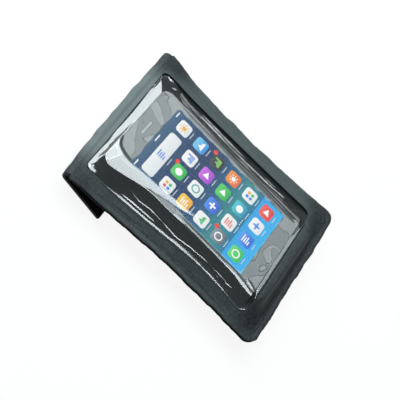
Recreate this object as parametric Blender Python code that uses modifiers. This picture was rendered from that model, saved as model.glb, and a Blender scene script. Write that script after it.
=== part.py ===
"""A soft bicycle phone case: a welded pouch of coated fabric with a clear window, folded shut over
its back, carried on a quarter-turn adapter, with a phone inside.

Metres. +Z is up, out of the window. +Y runs from the bottom seam to the fold. The case lies on its
back, on the adapter's foot and on the end of the folded flap, at Z = 0.
"""

import math

import bmesh
import bpy

# Clearances, how far a cutter reaches past what it cuts, and the flat that a round end keeps
SEAT_GAP = 0.0003
SCREW_CLEARANCE = 0.0003
CUT_PAST = 0.0010
ROUND_END_FLAT = 0.00002

# Phone
PHONE_WIDTH = 0.0586
PHONE_LENGTH = 0.1206
PHONE_THICKNESS = 0.0076
PHONE_CORNER_RADIUS = 0.0095
PHONE_EDGE = 0.0006
PHONE_X = -0.0004
PHONE_Y = 0.0000
PHONE_TURN = math.radians(-2.3)
GLASS_THICKNESS = 0.0011
GLASS_INSET = 0.0010
GLASS_PROUD = 0.00015
SIDE_BEZEL = 0.0043
TOP_BEZEL = 0.0140
BOTTOM_BEZEL = 0.0181
DISPLAY_THICKNESS = 0.0012
HOME_BUTTON_RADIUS = 0.0053
HOME_BUTTON_HEIGHT = 0.0022
HOME_BUTTON_TRAVEL = 0.0003
HOME_BUTTON_INSET = 0.0086
HOME_BUTTON_RIM = 0.0013
HOME_BUTTON_DISH = 0.0003
HOME_BUTTON_SINK = 0.0001
EARPIECE_WIDTH = 0.0110
EARPIECE_HEIGHT = 0.0018
EARPIECE_THICKNESS = 0.0008
EARPIECE_INSET = 0.0075

# Pouch, cut around the phone's length
POUCH_WIDTH = 0.1085
POUCH_END_ROOM = 0.0246
POUCH_LENGTH = PHONE_LENGTH + POUCH_END_ROOM
PANEL_THICKNESS = 0.0010
SEAM_WIDTH = 0.0045
SEAM_RISE = 0.0030
BOTTOM_CORNER_RADIUS = 0.0080
FOLD_CORNER_RADIUS = 0.0010
SIDE_BOW = 0.0034
FOLD_BOW = 0.0012
FOLD_INNER_RADIUS = 0.0015
FLAP_LENGTH = 0.0300
FLAP_BLEND = 0.0280
BACK_FLAT_INSET = 0.0130

# Clear window
WINDOW_WIDTH = 0.0838
WINDOW_LENGTH = 0.1204
WINDOW_X = -0.0010
WINDOW_Y = 0.0038
WINDOW_BOTTOM_CORNER_RADIUS = 0.0045
WINDOW_TOP_CORNER_RADIUS = 0.0028
WINDOW_BOW = 0.0012
WRAP = 0.0012
TENT_CORNER_RADIUS = 0.0060
TENT_POWER = 1.5
CROWN_ROUNDING = 0.12
STEEPEST = 1.8
FILM_THICKNESS = 0.0004
FILM_LAP = 0.0030
FILM_LAP_AT_ENDS = 0.0012
FILM_INSET = 0.0025
LAP_GAP = 0.0005
CREASE_DEPTH = 0.0009
CREASE_COUNT = 1.5
CREASE_FADE = 0.0030
CREASE_WANDER = 1.3
CREASE_PITCH = 0.046
FINE_WANDER = 0.8
FINE_PITCH = 0.028
FILM_SPINE = 0.7

# Hook and loop closure
CLOSURE_WIDTH = 0.0840
CLOSURE_STRIP = 0.0090
CLOSURE_CORNER_RADIUS = 0.0015
CLOSURE_THICKNESS = 0.0009
CLOSURE_END_INSET = 0.0020

# Adapter on the back
ADAPTER_HEIGHT = 0.0075
ADAPTER_FLANGE_RADIUS = 0.0210
ADAPTER_FLANGE_THICKNESS = 0.0020
ADAPTER_NECK_RADIUS = 0.0105
ADAPTER_HEAD_RADIUS = 0.0180
ADAPTER_HEAD_THICKNESS = 0.0028
ADAPTER_HEAD_WIDTH = 0.0220
ADAPTER_POCKET_RADIUS = 0.0060
ADAPTER_POCKET_DEPTH = 0.0030
ADAPTER_EDGE = 0.0006
BACKING_SIDE = 0.0500
BACKING_CORNER_RADIUS = 0.0080
BACKING_THICKNESS = 0.0020

# Screws from the adapter into the backing plate
SCREW_CIRCLE_RADIUS = 0.0167
SCREW_ANGLE = math.radians(36)
SCREW_HEAD_RADIUS = 0.0021
SCREW_SHANK_RADIUS = 0.0010
SCREW_HEAD_DEPTH = 0.0011
SCREW_HEAD_SINK = 0.0001
SCREW_BITE = 0.0014
SCREW_TIP_RADIUS = 0.0006
SCREW_TIP_LENGTH = 0.0004
SOCKET_RADIUS = 0.0008
SOCKET_DEPTH = 0.0006

# Facets
CORNER_STEPS = 4
END_STEPS = 12
SIDE_STEPS = 18
FILM_SLOPE_RINGS = 6
PANEL_SLOPE_RINGS = 4
BACK_SLOPE_RINGS = 2
FOLD_STEPS = 8
FLAP_STEPS = 4
ROUND_STEPS = 40
SMALL_ROUND_STEPS = 16
SLAB_CORNER_STEPS = 5
FILM_FLAT_SHARES = (0.35, 0.7)
SHARP_ANGLE = math.radians(35)
BEVEL_ANGLE = math.radians(40)

STEPS = (CORNER_STEPS, END_STEPS, SIDE_STEPS)

# Levels, bottom to top
BACK_Z = ADAPTER_HEIGHT + SEAT_GAP
BACK_INSIDE_Z = BACK_Z + PANEL_THICKNESS
BACKING_Z = BACK_INSIDE_Z + SEAT_GAP
PHONE_Z = BACKING_Z + BACKING_THICKNESS + SEAT_GAP
PHONE_TOP_Z = PHONE_Z + PHONE_THICKNESS
FILM_TOP_Z = PHONE_TOP_Z + LAP_GAP + FILM_THICKNESS
CROWN_Z = FILM_TOP_Z + LAP_GAP + PANEL_THICKNESS
BACK_SEAM_Z = BACK_Z + SEAM_RISE
FRONT_SEAM_Z = BACK_SEAM_Z + 2 * PANEL_THICKNESS + SEAT_GAP

# The fold: both layers turn about one line, level with the seam
FOLD_OUTER_RADIUS = FOLD_INNER_RADIUS + 2 * PANEL_THICKNESS + SEAT_GAP
FOLD_Z = (BACK_SEAM_Z + FRONT_SEAM_Z) / 2
FOLD_Y = POUCH_LENGTH / 2 - FOLD_BOW - FOLD_OUTER_RADIUS
BOTTOM_Y = -POUCH_LENGTH / 2
FLAP_REACH = math.hypot(FOLD_OUTER_RADIUS, FLAP_LENGTH)
FLAP_ANGLE = math.atan2(FLAP_LENGTH, FOLD_OUTER_RADIUS) - math.acos((FOLD_Z - SEAT_GAP) / FLAP_REACH)

# Colours, linear
FABRIC = (0.045, 0.055, 0.058)
FABRIC_INSIDE = (0.020, 0.022, 0.024)
CLEAR = (0.85, 0.88, 0.88)
HOOKS = (0.010, 0.010, 0.010)
MOULDED_BLACK = (0.018, 0.018, 0.019)
STEEL = (0.45, 0.46, 0.47)
GRAPHITE = (0.12, 0.125, 0.13)
BLACK_GLASS = (0.01, 0.01, 0.012)
SCREEN_BLUE = (0.03, 0.12, 0.35)


def smoothstep(t):
    """0 below 0, 1 above 1, and smooth between."""
    t = min(max(t, 0.0), 1.0)
    return t * t * (3 - 2 * t)


def outside_distance(x, y, half_width, half_length, radius):
    """How far a point is outside a rounded rectangle, negative inside."""
    dx = abs(x) - half_width + radius
    dy = abs(y) - half_length + radius
    return math.hypot(max(dx, 0), max(dy, 0)) + min(max(dx, dy), 0) - radius


def to_phone(x, y):
    """A point of the pouch as the phone's own length and width see it."""
    dx, dy = x - PHONE_X, y - PHONE_Y
    c, s = math.cos(PHONE_TURN), math.sin(PHONE_TURN)
    return c * dx + s * dy, -s * dx + c * dy


def from_phone(x, y):
    c, s = math.cos(PHONE_TURN), math.sin(PHONE_TURN)
    return PHONE_X + c * x - s * y, PHONE_Y + s * x + c * y


def seam_height(y, low, high):
    """The seam is level, and swells to the height of the fold over the last of its length."""
    return low + (high - low) * smoothstep((y - FOLD_Y + FLAP_BLEND) / FLAP_BLEND)


def front_height(x, y):
    """Top of the front panel: level over the phone, and from its edge down to the seam like a tent."""
    px, py = to_phone(x, y)
    past_edge = outside_distance(px, py, PHONE_WIDTH / 2, PHONE_LENGTH / 2, TENT_CORNER_RADIUS)
    to_body = max(past_edge - WRAP, 0)
    half_width = POUCH_WIDTH / 2 - SEAM_WIDTH
    middle = (FOLD_Y + BOTTOM_Y + SEAM_WIDTH) / 2
    half_length = (FOLD_Y - BOTTOM_Y - SEAM_WIDTH) / 2
    to_seam = max(-outside_distance(x, y - middle, half_width, half_length, BOTTOM_CORNER_RADIUS), 0)
    rim = seam_height(y, FRONT_SEAM_Z, FOLD_Z + FOLD_OUTER_RADIUS)
    share = to_body / (to_body + to_seam) if to_body + to_seam > 0 else 1.0
    share = share**2 * (1 + CROWN_ROUNDING) / (share + CROWN_ROUNDING)
    return rim + (CROWN_Z - rim) * (1 - share) ** TENT_POWER


def below_front(x, y, depth):
    """A height that lies this deep under the front panel's top, measured square to its slope."""
    step = 0.0002
    slope_x = (front_height(x + step, y) - front_height(x - step, y)) / (2 * step)
    slope_y = (front_height(x, y + step) - front_height(x, y - step)) / (2 * step)
    return front_height(x, y) - depth * min(math.sqrt(1 + slope_x**2 + slope_y**2), STEEPEST)


def back_height(x, y):
    """Underside of the back panel: flat under the phone, rising to the seam and to the fold."""
    rim = seam_height(y, BACK_SEAM_Z, FOLD_Z + FOLD_INNER_RADIUS)
    half_width = POUCH_WIDTH / 2 - SEAM_WIDTH
    to_side = half_width - abs(x)
    to_bottom = y - BOTTOM_Y - SEAM_WIDTH
    to_fold = FOLD_Y - y
    share = min(to_side, to_bottom, to_fold) / (BACK_FLAT_INSET - SEAM_WIDTH)
    return rim + (BACK_Z - rim) * smoothstep(share)


def outline(half_width, bottom, top, bottom_radius, top_radius, steps, side_bow=0.0, top_bow=0.0):
    """Anticlockwise points of a rounded rectangle, from the left end of its top edge.

    steps is (per corner, per end, per side). side_bow draws the long sides in at their middle, and
    top_bow swells the top edge.
    """
    corner_steps, end_steps, side_steps = steps
    corners = (
        (-half_width + top_radius, top - top_radius, top_radius, math.pi / 2),
        (-half_width + bottom_radius, bottom + bottom_radius, bottom_radius, math.pi),
        (half_width - bottom_radius, bottom + bottom_radius, bottom_radius, 3 * math.pi / 2),
        (half_width - top_radius, top - top_radius, top_radius, 2 * math.pi),
    )
    points = []
    for index, (cx, cy, radius, start) in enumerate(corners):
        for step in range(corner_steps + 1):
            angle = start + math.pi / 2 * step / corner_steps
            points.append((cx + radius * math.cos(angle), cy + radius * math.sin(angle)))
        following = corners[(index + 1) % 4]
        begin = points[-1]
        end = (
            following[0] + following[2] * math.cos(following[3]),
            following[1] + following[2] * math.sin(following[3]),
        )
        between = side_steps if index % 2 == 0 else end_steps
        for step in range(1, between):
            share = step / between
            points.append((begin[0] + (end[0] - begin[0]) * share, begin[1] + (end[1] - begin[1]) * share))
    middle, half_length = (top + bottom) / 2, (top - bottom) / 2
    bowed = []
    for x, y in points:
        along = (y - middle) / half_length
        across = x / half_width
        drawn_in = side_bow * (1 - along**2) * across
        swell = top_bow * (1 - across**2) * max(along, 0.0)
        bowed.append((x - drawn_in, y + swell))
    return bowed


def between(first, second, share):
    """A ring of points part of the way from one ring to another."""
    return [(a[0] + (b[0] - a[0]) * share, a[1] + (b[1] - a[1]) * share) for a, b in zip(first, second)]


def material(name, colour, roughness, metallic=0.0, alpha=1.0):
    made = bpy.data.materials.new(name)
    made.use_nodes = True
    shader = made.node_tree.nodes["Principled BSDF"]
    shader.inputs["Base Color"].default_value = (*colour, 1.0)
    shader.inputs["Roughness"].default_value = roughness
    shader.inputs["Metallic"].default_value = metallic
    shader.inputs["Alpha"].default_value = alpha
    return made


def finish(obj, finish_material, parent=None):
    """Gives an object its material, puts it in the case's collection and shades it."""
    obj.data.materials.clear()
    obj.data.materials.append(finish_material)
    if obj.name not in CASE.objects:
        CASE.objects.link(obj)
    for other in list(obj.users_collection):
        if other != CASE:
            other.objects.unlink(obj)
    obj.data.shade_smooth()
    obj.data.set_sharp_from_angle(angle=SHARP_ANGLE)
    obj.parent = parent
    return obj


def cut(obj, cutter, operation="DIFFERENCE"):
    """Cuts, joins or trims an object by another, which becomes a helper."""
    for other in list(cutter.users_collection):
        other.objects.unlink(cutter)
    CUTTERS.objects.link(cutter)
    cutter.hide_render = True
    cutter.display_type = "WIRE"
    cutter.parent = obj.parent
    boolean = obj.modifiers.new(cutter.name, "BOOLEAN")
    boolean.operation = operation
    boolean.object = cutter
    boolean.solver = "EXACT"


def object_from(name, mesh):
    made = bpy.data.objects.new(name, mesh)
    bpy.context.scene.collection.objects.link(made)
    return made


def flat_slab(name, points, low, high):
    """A slab of a flat outline, from a filled 2D curve."""
    curve = bpy.data.curves.new(name, "CURVE")
    curve.dimensions = "2D"
    curve.fill_mode = "BOTH"
    curve.extrude = (high - low) / 2
    spline = curve.splines.new("POLY")
    spline.points.add(len(points) - 1)
    for point, (x, y) in zip(spline.points, points):
        point.co = (x, y, 0, 1)
    spline.use_cyclic_u = True
    drawn = object_from(name + "_curve", curve)
    bpy.context.view_layer.update()
    evaluated = drawn.evaluated_get(bpy.context.evaluated_depsgraph_get())
    mesh = bpy.data.meshes.new_from_object(evaluated)
    bpy.data.objects.remove(drawn)
    work = bmesh.new()
    work.from_mesh(mesh)
    bmesh.ops.remove_doubles(work, verts=work.verts, dist=1e-6)
    bmesh.ops.translate(work, verts=work.verts, vec=(0, 0, (low + high) / 2))
    bmesh.ops.recalc_face_normals(work, faces=work.faces)
    work.to_mesh(mesh)
    work.free()
    mesh.name = name
    return object_from(name, mesh)


def rounded_slab(name, width, length, radius, low, high):
    steps = (SLAB_CORNER_STEPS, 1, 1)
    points = outline(width / 2, -length / 2, length / 2, radius, radius, steps)
    return flat_slab(name, points, low, high)


def cylinder(name, radius, low, high, steps=SMALL_ROUND_STEPS, centre=(0.0, 0.0)):
    bpy.ops.mesh.primitive_cylinder_add(
        vertices=steps, radius=radius, depth=high - low, location=(*centre, (low + high) / 2)
    )
    made = bpy.context.object
    made.name = name
    return made


def box(name, size, centre):
    bpy.ops.mesh.primitive_cube_add(size=1, location=centre)
    made = bpy.context.object
    made.name = name
    made.scale = size
    bpy.ops.object.transform_apply(location=False, rotation=False, scale=True)
    return made


def turned(name, profile, steps):
    """A turned piece. Its profile runs down its outer side, top to bottom, as (radius, height)."""
    mesh = bpy.data.meshes.new(name)
    rows = [(radius, 0.0, height) for radius, height in profile]
    mesh.from_pydata(rows, [(i, i + 1) for i in range(len(rows) - 1)], [])
    made = object_from(name, mesh)
    screw = made.modifiers.new("turn", "SCREW")
    screw.steps = steps
    screw.render_steps = steps
    screw.use_merge_vertices = True
    screw.merge_threshold = 0.00001
    return made


def sheet(name, rings, thickness, tail=(), cap=False, upwards=True):
    """A soft panel: a loft through rings of (x, y, z) points, given a thickness by Solidify.

    tail is rows that carry on from the first ring's top edge, over the fold. cap fills the last
    ring. The thickness grows down from a panel that faces up, and up from one that faces down.
    """
    work = bmesh.new()
    loops = [[work.verts.new(point) for point in ring] for ring in rings]
    count = len(loops[0])
    for outer, inner in zip(loops, loops[1:]):
        for i in range(count):
            j = (i + 1) % count
            work.faces.new((outer[i], outer[j], inner[j], inner[i]))
    if cap:
        work.faces.new(loops[-1])
    if tail:
        # The top edge runs from the last corner's end round to the first point.
        top = loops[0][-(len(tail[0]) - 1):] + loops[0][:1]
        for row in tail:
            following = [work.verts.new(point) for point in row]
            for i in range(len(row) - 1):
                work.faces.new((top[i], following[i], following[i + 1], top[i + 1]))
            top = following
    bmesh.ops.recalc_face_normals(work, faces=work.faces)
    work.faces.ensure_lookup_table()
    work.normal_update()
    leaning = sum(face.normal.z * face.calc_area() for face in work.faces[: count * (len(rings) - 1)])
    if (leaning > 0) != upwards:
        bmesh.ops.reverse_faces(work, faces=work.faces)
    mesh = bpy.data.meshes.new(name)
    work.to_mesh(mesh)
    work.free()
    made = object_from(name, mesh)
    solidify = made.modifiers.new("thickness", "SOLIDIFY")
    solidify.thickness = thickness
    solidify.offset = -1.0
    return made


def pouch_rings():
    """The outer edge and the inner edge of the seam, as flat rings."""
    edge = outline(
        POUCH_WIDTH / 2, BOTTOM_Y, FOLD_Y, BOTTOM_CORNER_RADIUS, FOLD_CORNER_RADIUS, STEPS, SIDE_BOW, FOLD_BOW
    )
    seam = outline(
        POUCH_WIDTH / 2 - SEAM_WIDTH,
        BOTTOM_Y + SEAM_WIDTH,
        FOLD_Y - FOLD_CORNER_RADIUS / 2,
        BOTTOM_CORNER_RADIUS - SEAM_WIDTH / 2,
        FOLD_CORNER_RADIUS,
        STEPS,
        SIDE_BOW,
        FOLD_BOW,
    )
    return edge, seam


def window_ring(grow=0.0, grow_at_ends=0.0):
    """The window's edge, or a ring outside it that is further out beside it than at its ends."""
    bottom = WINDOW_Y - WINDOW_LENGTH / 2 - grow_at_ends
    top = WINDOW_Y + WINDOW_LENGTH / 2 + grow_at_ends
    ring = outline(
        WINDOW_WIDTH / 2 + grow,
        bottom,
        top,
        WINDOW_BOTTOM_CORNER_RADIUS + grow_at_ends,
        WINDOW_TOP_CORNER_RADIUS + grow_at_ends,
        STEPS,
        WINDOW_BOW,
    )
    return [(x + WINDOW_X, y) for x, y in ring]


def fold_tail(start_ring, radius):
    """Rows over the fold and down the flap, for the layer whose outer face turns at this radius."""
    row = start_ring[-(END_STEPS):] + start_ring[:1]
    rows = []
    turn = math.pi - FLAP_ANGLE
    for step in range(1, FOLD_STEPS + 1):
        angle = math.pi / 2 - turn * step / FOLD_STEPS
        rows.append([(x, y + radius * math.cos(angle), FOLD_Z + radius * math.sin(angle)) for x, y in row])
    last = rows[-1]
    end_y = last[0][1]
    for step in range(1, FLAP_STEPS + 1):
        # The fold's swell fades along the flap, so that its end is straight.
        share = step / FLAP_STEPS
        back = FLAP_LENGTH * share * math.cos(FLAP_ANGLE)
        down = FLAP_LENGTH * share * math.sin(FLAP_ANGLE)
        rows.append([(x, y - back - share * (y - end_y), z - down) for x, y, z in last])
    return rows


def front_panel(fabric):
    """The front: a seam all round, a slope up over the phone, the window's cut-out, and the flap."""
    edge, seam = pouch_rings()
    lap = window_ring(FILM_LAP, FILM_LAP_AT_ENDS)
    window = window_ring()
    slope = [between(seam, lap, i / PANEL_SLOPE_RINGS) for i in range(PANEL_SLOPE_RINGS + 1)]
    rings = [edge, *slope, between(lap, window, 0.5), window]
    solid_rings = [
        [(x, y, seam_height(y, FRONT_SEAM_Z, FOLD_Z + FOLD_OUTER_RADIUS)) for x, y in rings[0]],
        *[[(x, y, front_height(x, y)) for x, y in ring] for ring in rings[1:]],
    ]
    tail = fold_tail(edge, FOLD_OUTER_RADIUS)
    return finish(sheet("front_panel", solid_rings, PANEL_THICKNESS, tail), fabric)


def back_panel(fabric):
    """The back: flat under the phone, holed for the adapter's screws, and the inside of the flap."""
    edge, seam = pouch_rings()
    flat = outline(
        POUCH_WIDTH / 2 - BACK_FLAT_INSET,
        BOTTOM_Y + BACK_FLAT_INSET,
        FOLD_Y - BACK_FLAT_INSET + SEAM_WIDTH,
        BOTTOM_CORNER_RADIUS,
        BOTTOM_CORNER_RADIUS,
        STEPS,
    )
    rings = [edge, *[between(seam, flat, i / BACK_SLOPE_RINGS) for i in range(BACK_SLOPE_RINGS + 1)]]
    solid_rings = [[(x, y, back_height(x, y)) for x, y in ring] for ring in rings]
    solid_rings[0] = [(x, y, seam_height(y, BACK_SEAM_Z, FOLD_Z + FOLD_INNER_RADIUS)) for x, y in edge]
    solid_rings[-1] = [(x, y, BACK_Z) for x, y in flat]
    tail = fold_tail(edge, FOLD_INNER_RADIUS)
    panel = sheet("back_panel", solid_rings, PANEL_THICKNESS, tail, cap=True, upwards=False)
    finish(panel, fabric)
    radius = SCREW_SHANK_RADIUS + SCREW_CLEARANCE
    for index, centre in enumerate(screw_centres()):
        hole = cylinder(f"back_hole_{index + 1}", radius, BACK_Z - CUT_PAST, BACKING_Z + CUT_PAST, centre=centre)
        cut(panel, hole)
    return panel


def crease(share, along):
    """How far the film rises and sinks in its creases, from the window's edge, at 0, to the phone, at 1."""
    wander = CREASE_WANDER * math.sin(2 * math.pi * along / CREASE_PITCH)
    wander += FINE_WANDER * math.cos(2 * math.pi * along / FINE_PITCH)
    return CREASE_DEPTH * math.sin(math.pi * share) * math.sin(2 * math.pi * CREASE_COUNT * share + wander)


def window_film(clear):
    """The clear window: lapped under the front panel's cut-out, creased, and tight over the phone."""
    lap = window_ring(FILM_LAP, FILM_LAP_AT_ENDS)
    window = window_ring()
    radius = TENT_CORNER_RADIUS + WRAP
    over = outline(
        PHONE_WIDTH / 2 + WRAP, -PHONE_LENGTH / 2 - WRAP, PHONE_LENGTH / 2 + WRAP, radius, radius, STEPS
    )
    # Where the phone reaches past the window, the film stays inside the window's edge.
    low_y = WINDOW_Y - WINDOW_LENGTH / 2 + FILM_INSET
    high_y = WINDOW_Y + WINDOW_LENGTH / 2 - FILM_INSET
    phone = []
    for x, y in over:
        px, py = from_phone(x, y)
        phone.append((px, min(max(py, low_y), high_y)))
    depth = PANEL_THICKNESS + LAP_GAP
    under = [lap, between(lap, window, 0.5)]
    rings = [[(x, y, below_front(x, y, depth)) for x, y in ring] for ring in under]
    for ring_index in range(FILM_SLOPE_RINGS + 1):
        share = ring_index / FILM_SLOPE_RINGS
        ring = []
        for x, y in between(window, phone, share):
            room = min(max(past_phone(x, y), 0.0) / CREASE_FADE, 1.0)
            ring.append((x, y, below_front(x, y, depth) + room * crease(share, x + y)))
        rings.append(ring)
    spine = [(PHONE_X, PHONE_Y + FILM_SPINE * (y - PHONE_Y)) for _, y in phone]
    for share in FILM_FLAT_SHARES:
        rings.append([(x, y, FILM_TOP_Z) for x, y in between(phone, spine, share)])
    return finish(sheet("window_film", rings, FILM_THICKNESS, cap=True), clear)


def past_phone(x, y):
    """How far a point is outside the phone's outline, negative inside."""
    px, py = to_phone(x, y)
    return outside_distance(px, py, PHONE_WIDTH / 2, PHONE_LENGTH / 2, PHONE_CORNER_RADIUS)


def closure_strips(hooks):
    """Loop strip on the back, and hook strip facing it on the inside of the flap."""
    end_y = FOLD_Y + FOLD_OUTER_RADIUS * math.sin(FLAP_ANGLE) - FLAP_LENGTH * math.cos(FLAP_ANGLE)
    end_z = FOLD_Z - FOLD_OUTER_RADIUS * math.cos(FLAP_ANGLE) - FLAP_LENGTH * math.sin(FLAP_ANGLE)
    low = 2 * PANEL_THICKNESS + 2 * SEAT_GAP
    radius = CLOSURE_CORNER_RADIUS
    hook = rounded_slab("hook_strip", CLOSURE_WIDTH, CLOSURE_STRIP, radius, low, low + CLOSURE_THICKNESS)
    finish(hook, hooks)
    along = CLOSURE_END_INSET + CLOSURE_STRIP / 2
    hook.rotation_euler = (FLAP_ANGLE, 0, 0)
    hook.location = (0, end_y + along * math.cos(FLAP_ANGLE), end_z + along * math.sin(FLAP_ANGLE))
    top = BACK_Z - SEAT_GAP
    loop = rounded_slab("loop_strip", CLOSURE_WIDTH, CLOSURE_STRIP, radius, top - CLOSURE_THICKNESS, top)
    finish(loop, hooks)
    loop.location = (0, end_y + along, 0)
    return hook, loop


def screw_centres():
    return [
        (sx * SCREW_CIRCLE_RADIUS * math.cos(SCREW_ANGLE), sy * SCREW_CIRCLE_RADIUS * math.sin(SCREW_ANGLE))
        for sx in (-1, 1)
        for sy in (-1, 1)
    ]


def mount_adapter(plastic):
    """Quarter-turn adapter: a screwed flange, a round neck, and a head with two flats and a pocket."""
    flange_z = ADAPTER_HEIGHT - ADAPTER_FLANGE_THICKNESS
    profile = [
        (0.0, ADAPTER_HEIGHT),
        (ADAPTER_FLANGE_RADIUS, ADAPTER_HEIGHT),
        (ADAPTER_FLANGE_RADIUS, flange_z + ADAPTER_EDGE),
        (ADAPTER_FLANGE_RADIUS - ADAPTER_EDGE, flange_z),
        (ADAPTER_NECK_RADIUS, flange_z),
        (ADAPTER_NECK_RADIUS, ADAPTER_HEAD_THICKNESS / 2),
        (0.0, ADAPTER_HEAD_THICKNESS / 2),
    ]
    adapter = finish(turned("mount_adapter", profile, ROUND_STEPS), plastic)
    head = cylinder("adapter_head", ADAPTER_HEAD_RADIUS, 0.0, ADAPTER_HEAD_THICKNESS, ROUND_STEPS)
    flats = box(
        "adapter_flats",
        (ADAPTER_HEAD_WIDTH, 3 * ADAPTER_HEAD_RADIUS, 3 * ADAPTER_HEAD_THICKNESS),
        (0, 0, ADAPTER_HEAD_THICKNESS / 2),
    )
    cut(head, flats, "INTERSECT")
    bevel = head.modifiers.new("edge", "BEVEL")
    bevel.width = ADAPTER_EDGE
    bevel.segments = 1
    bevel.limit_method = "ANGLE"
    bevel.angle_limit = BEVEL_ANGLE
    cut(adapter, head, "UNION")
    cut(adapter, cylinder("adapter_pocket", ADAPTER_POCKET_RADIUS, -CUT_PAST, ADAPTER_POCKET_DEPTH, ROUND_STEPS // 2))
    head_radius = SCREW_HEAD_RADIUS + SCREW_CLEARANCE
    shank_radius = SCREW_SHANK_RADIUS + SCREW_CLEARANCE
    for index, centre in enumerate(screw_centres()):
        bpy.ops.mesh.primitive_cone_add(
            vertices=SMALL_ROUND_STEPS,
            radius1=head_radius + SCREW_HEAD_DEPTH / 2,
            radius2=shank_radius,
            depth=SCREW_HEAD_DEPTH * 1.5,
            location=(*centre, flange_z + SCREW_HEAD_DEPTH * 0.25),
        )
        sink = bpy.context.object
        sink.name = f"adapter_sink_{index + 1}"
        cut(adapter, sink)
        hole = cylinder(
            f"adapter_hole_{index + 1}", shank_radius, flange_z + SCREW_CLEARANCE, ADAPTER_HEIGHT + CUT_PAST,
            centre=centre,
        )
        cut(adapter, hole)
    return adapter


def backing_plate(plastic):
    """Plate inside the pouch that the adapter's screws bite into."""
    top = BACKING_Z + BACKING_THICKNESS
    plate = rounded_slab("backing_plate", BACKING_SIDE, BACKING_SIDE, BACKING_CORNER_RADIUS, BACKING_Z, top)
    finish(plate, plastic)
    radius = SCREW_SHANK_RADIUS + SCREW_CLEARANCE
    for index, centre in enumerate(screw_centres()):
        hole_top = BACKING_Z + SCREW_BITE + SCREW_CLEARANCE
        cut(plate, cylinder(f"plate_hole_{index + 1}", radius, BACKING_Z - CUT_PAST, hole_top, centre=centre))
    return plate


def adapter_screws(steel):
    """Four countersunk screws, heads out, from the adapter's flange into the backing plate."""
    head_z = ADAPTER_HEIGHT - ADAPTER_FLANGE_THICKNESS + SCREW_HEAD_SINK
    tip_z = BACKING_Z + SCREW_BITE
    profile = [
        (0.0, tip_z),
        (SCREW_TIP_RADIUS, tip_z),
        (SCREW_SHANK_RADIUS, tip_z - SCREW_TIP_LENGTH),
        (SCREW_SHANK_RADIUS, head_z + SCREW_HEAD_DEPTH),
        (SCREW_HEAD_RADIUS, head_z),
        (0.0, head_z),
    ]
    for index, (x, y) in enumerate(screw_centres()):
        screw = finish(turned(f"adapter_screw_{index + 1}", profile, SMALL_ROUND_STEPS), steel)
        screw.location = (x, y, 0)
        socket = cylinder(f"socket_{index + 1}", SOCKET_RADIUS, head_z - CUT_PAST, head_z + SOCKET_DEPTH, 6, (x, y))
        cut(screw, socket)


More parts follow.
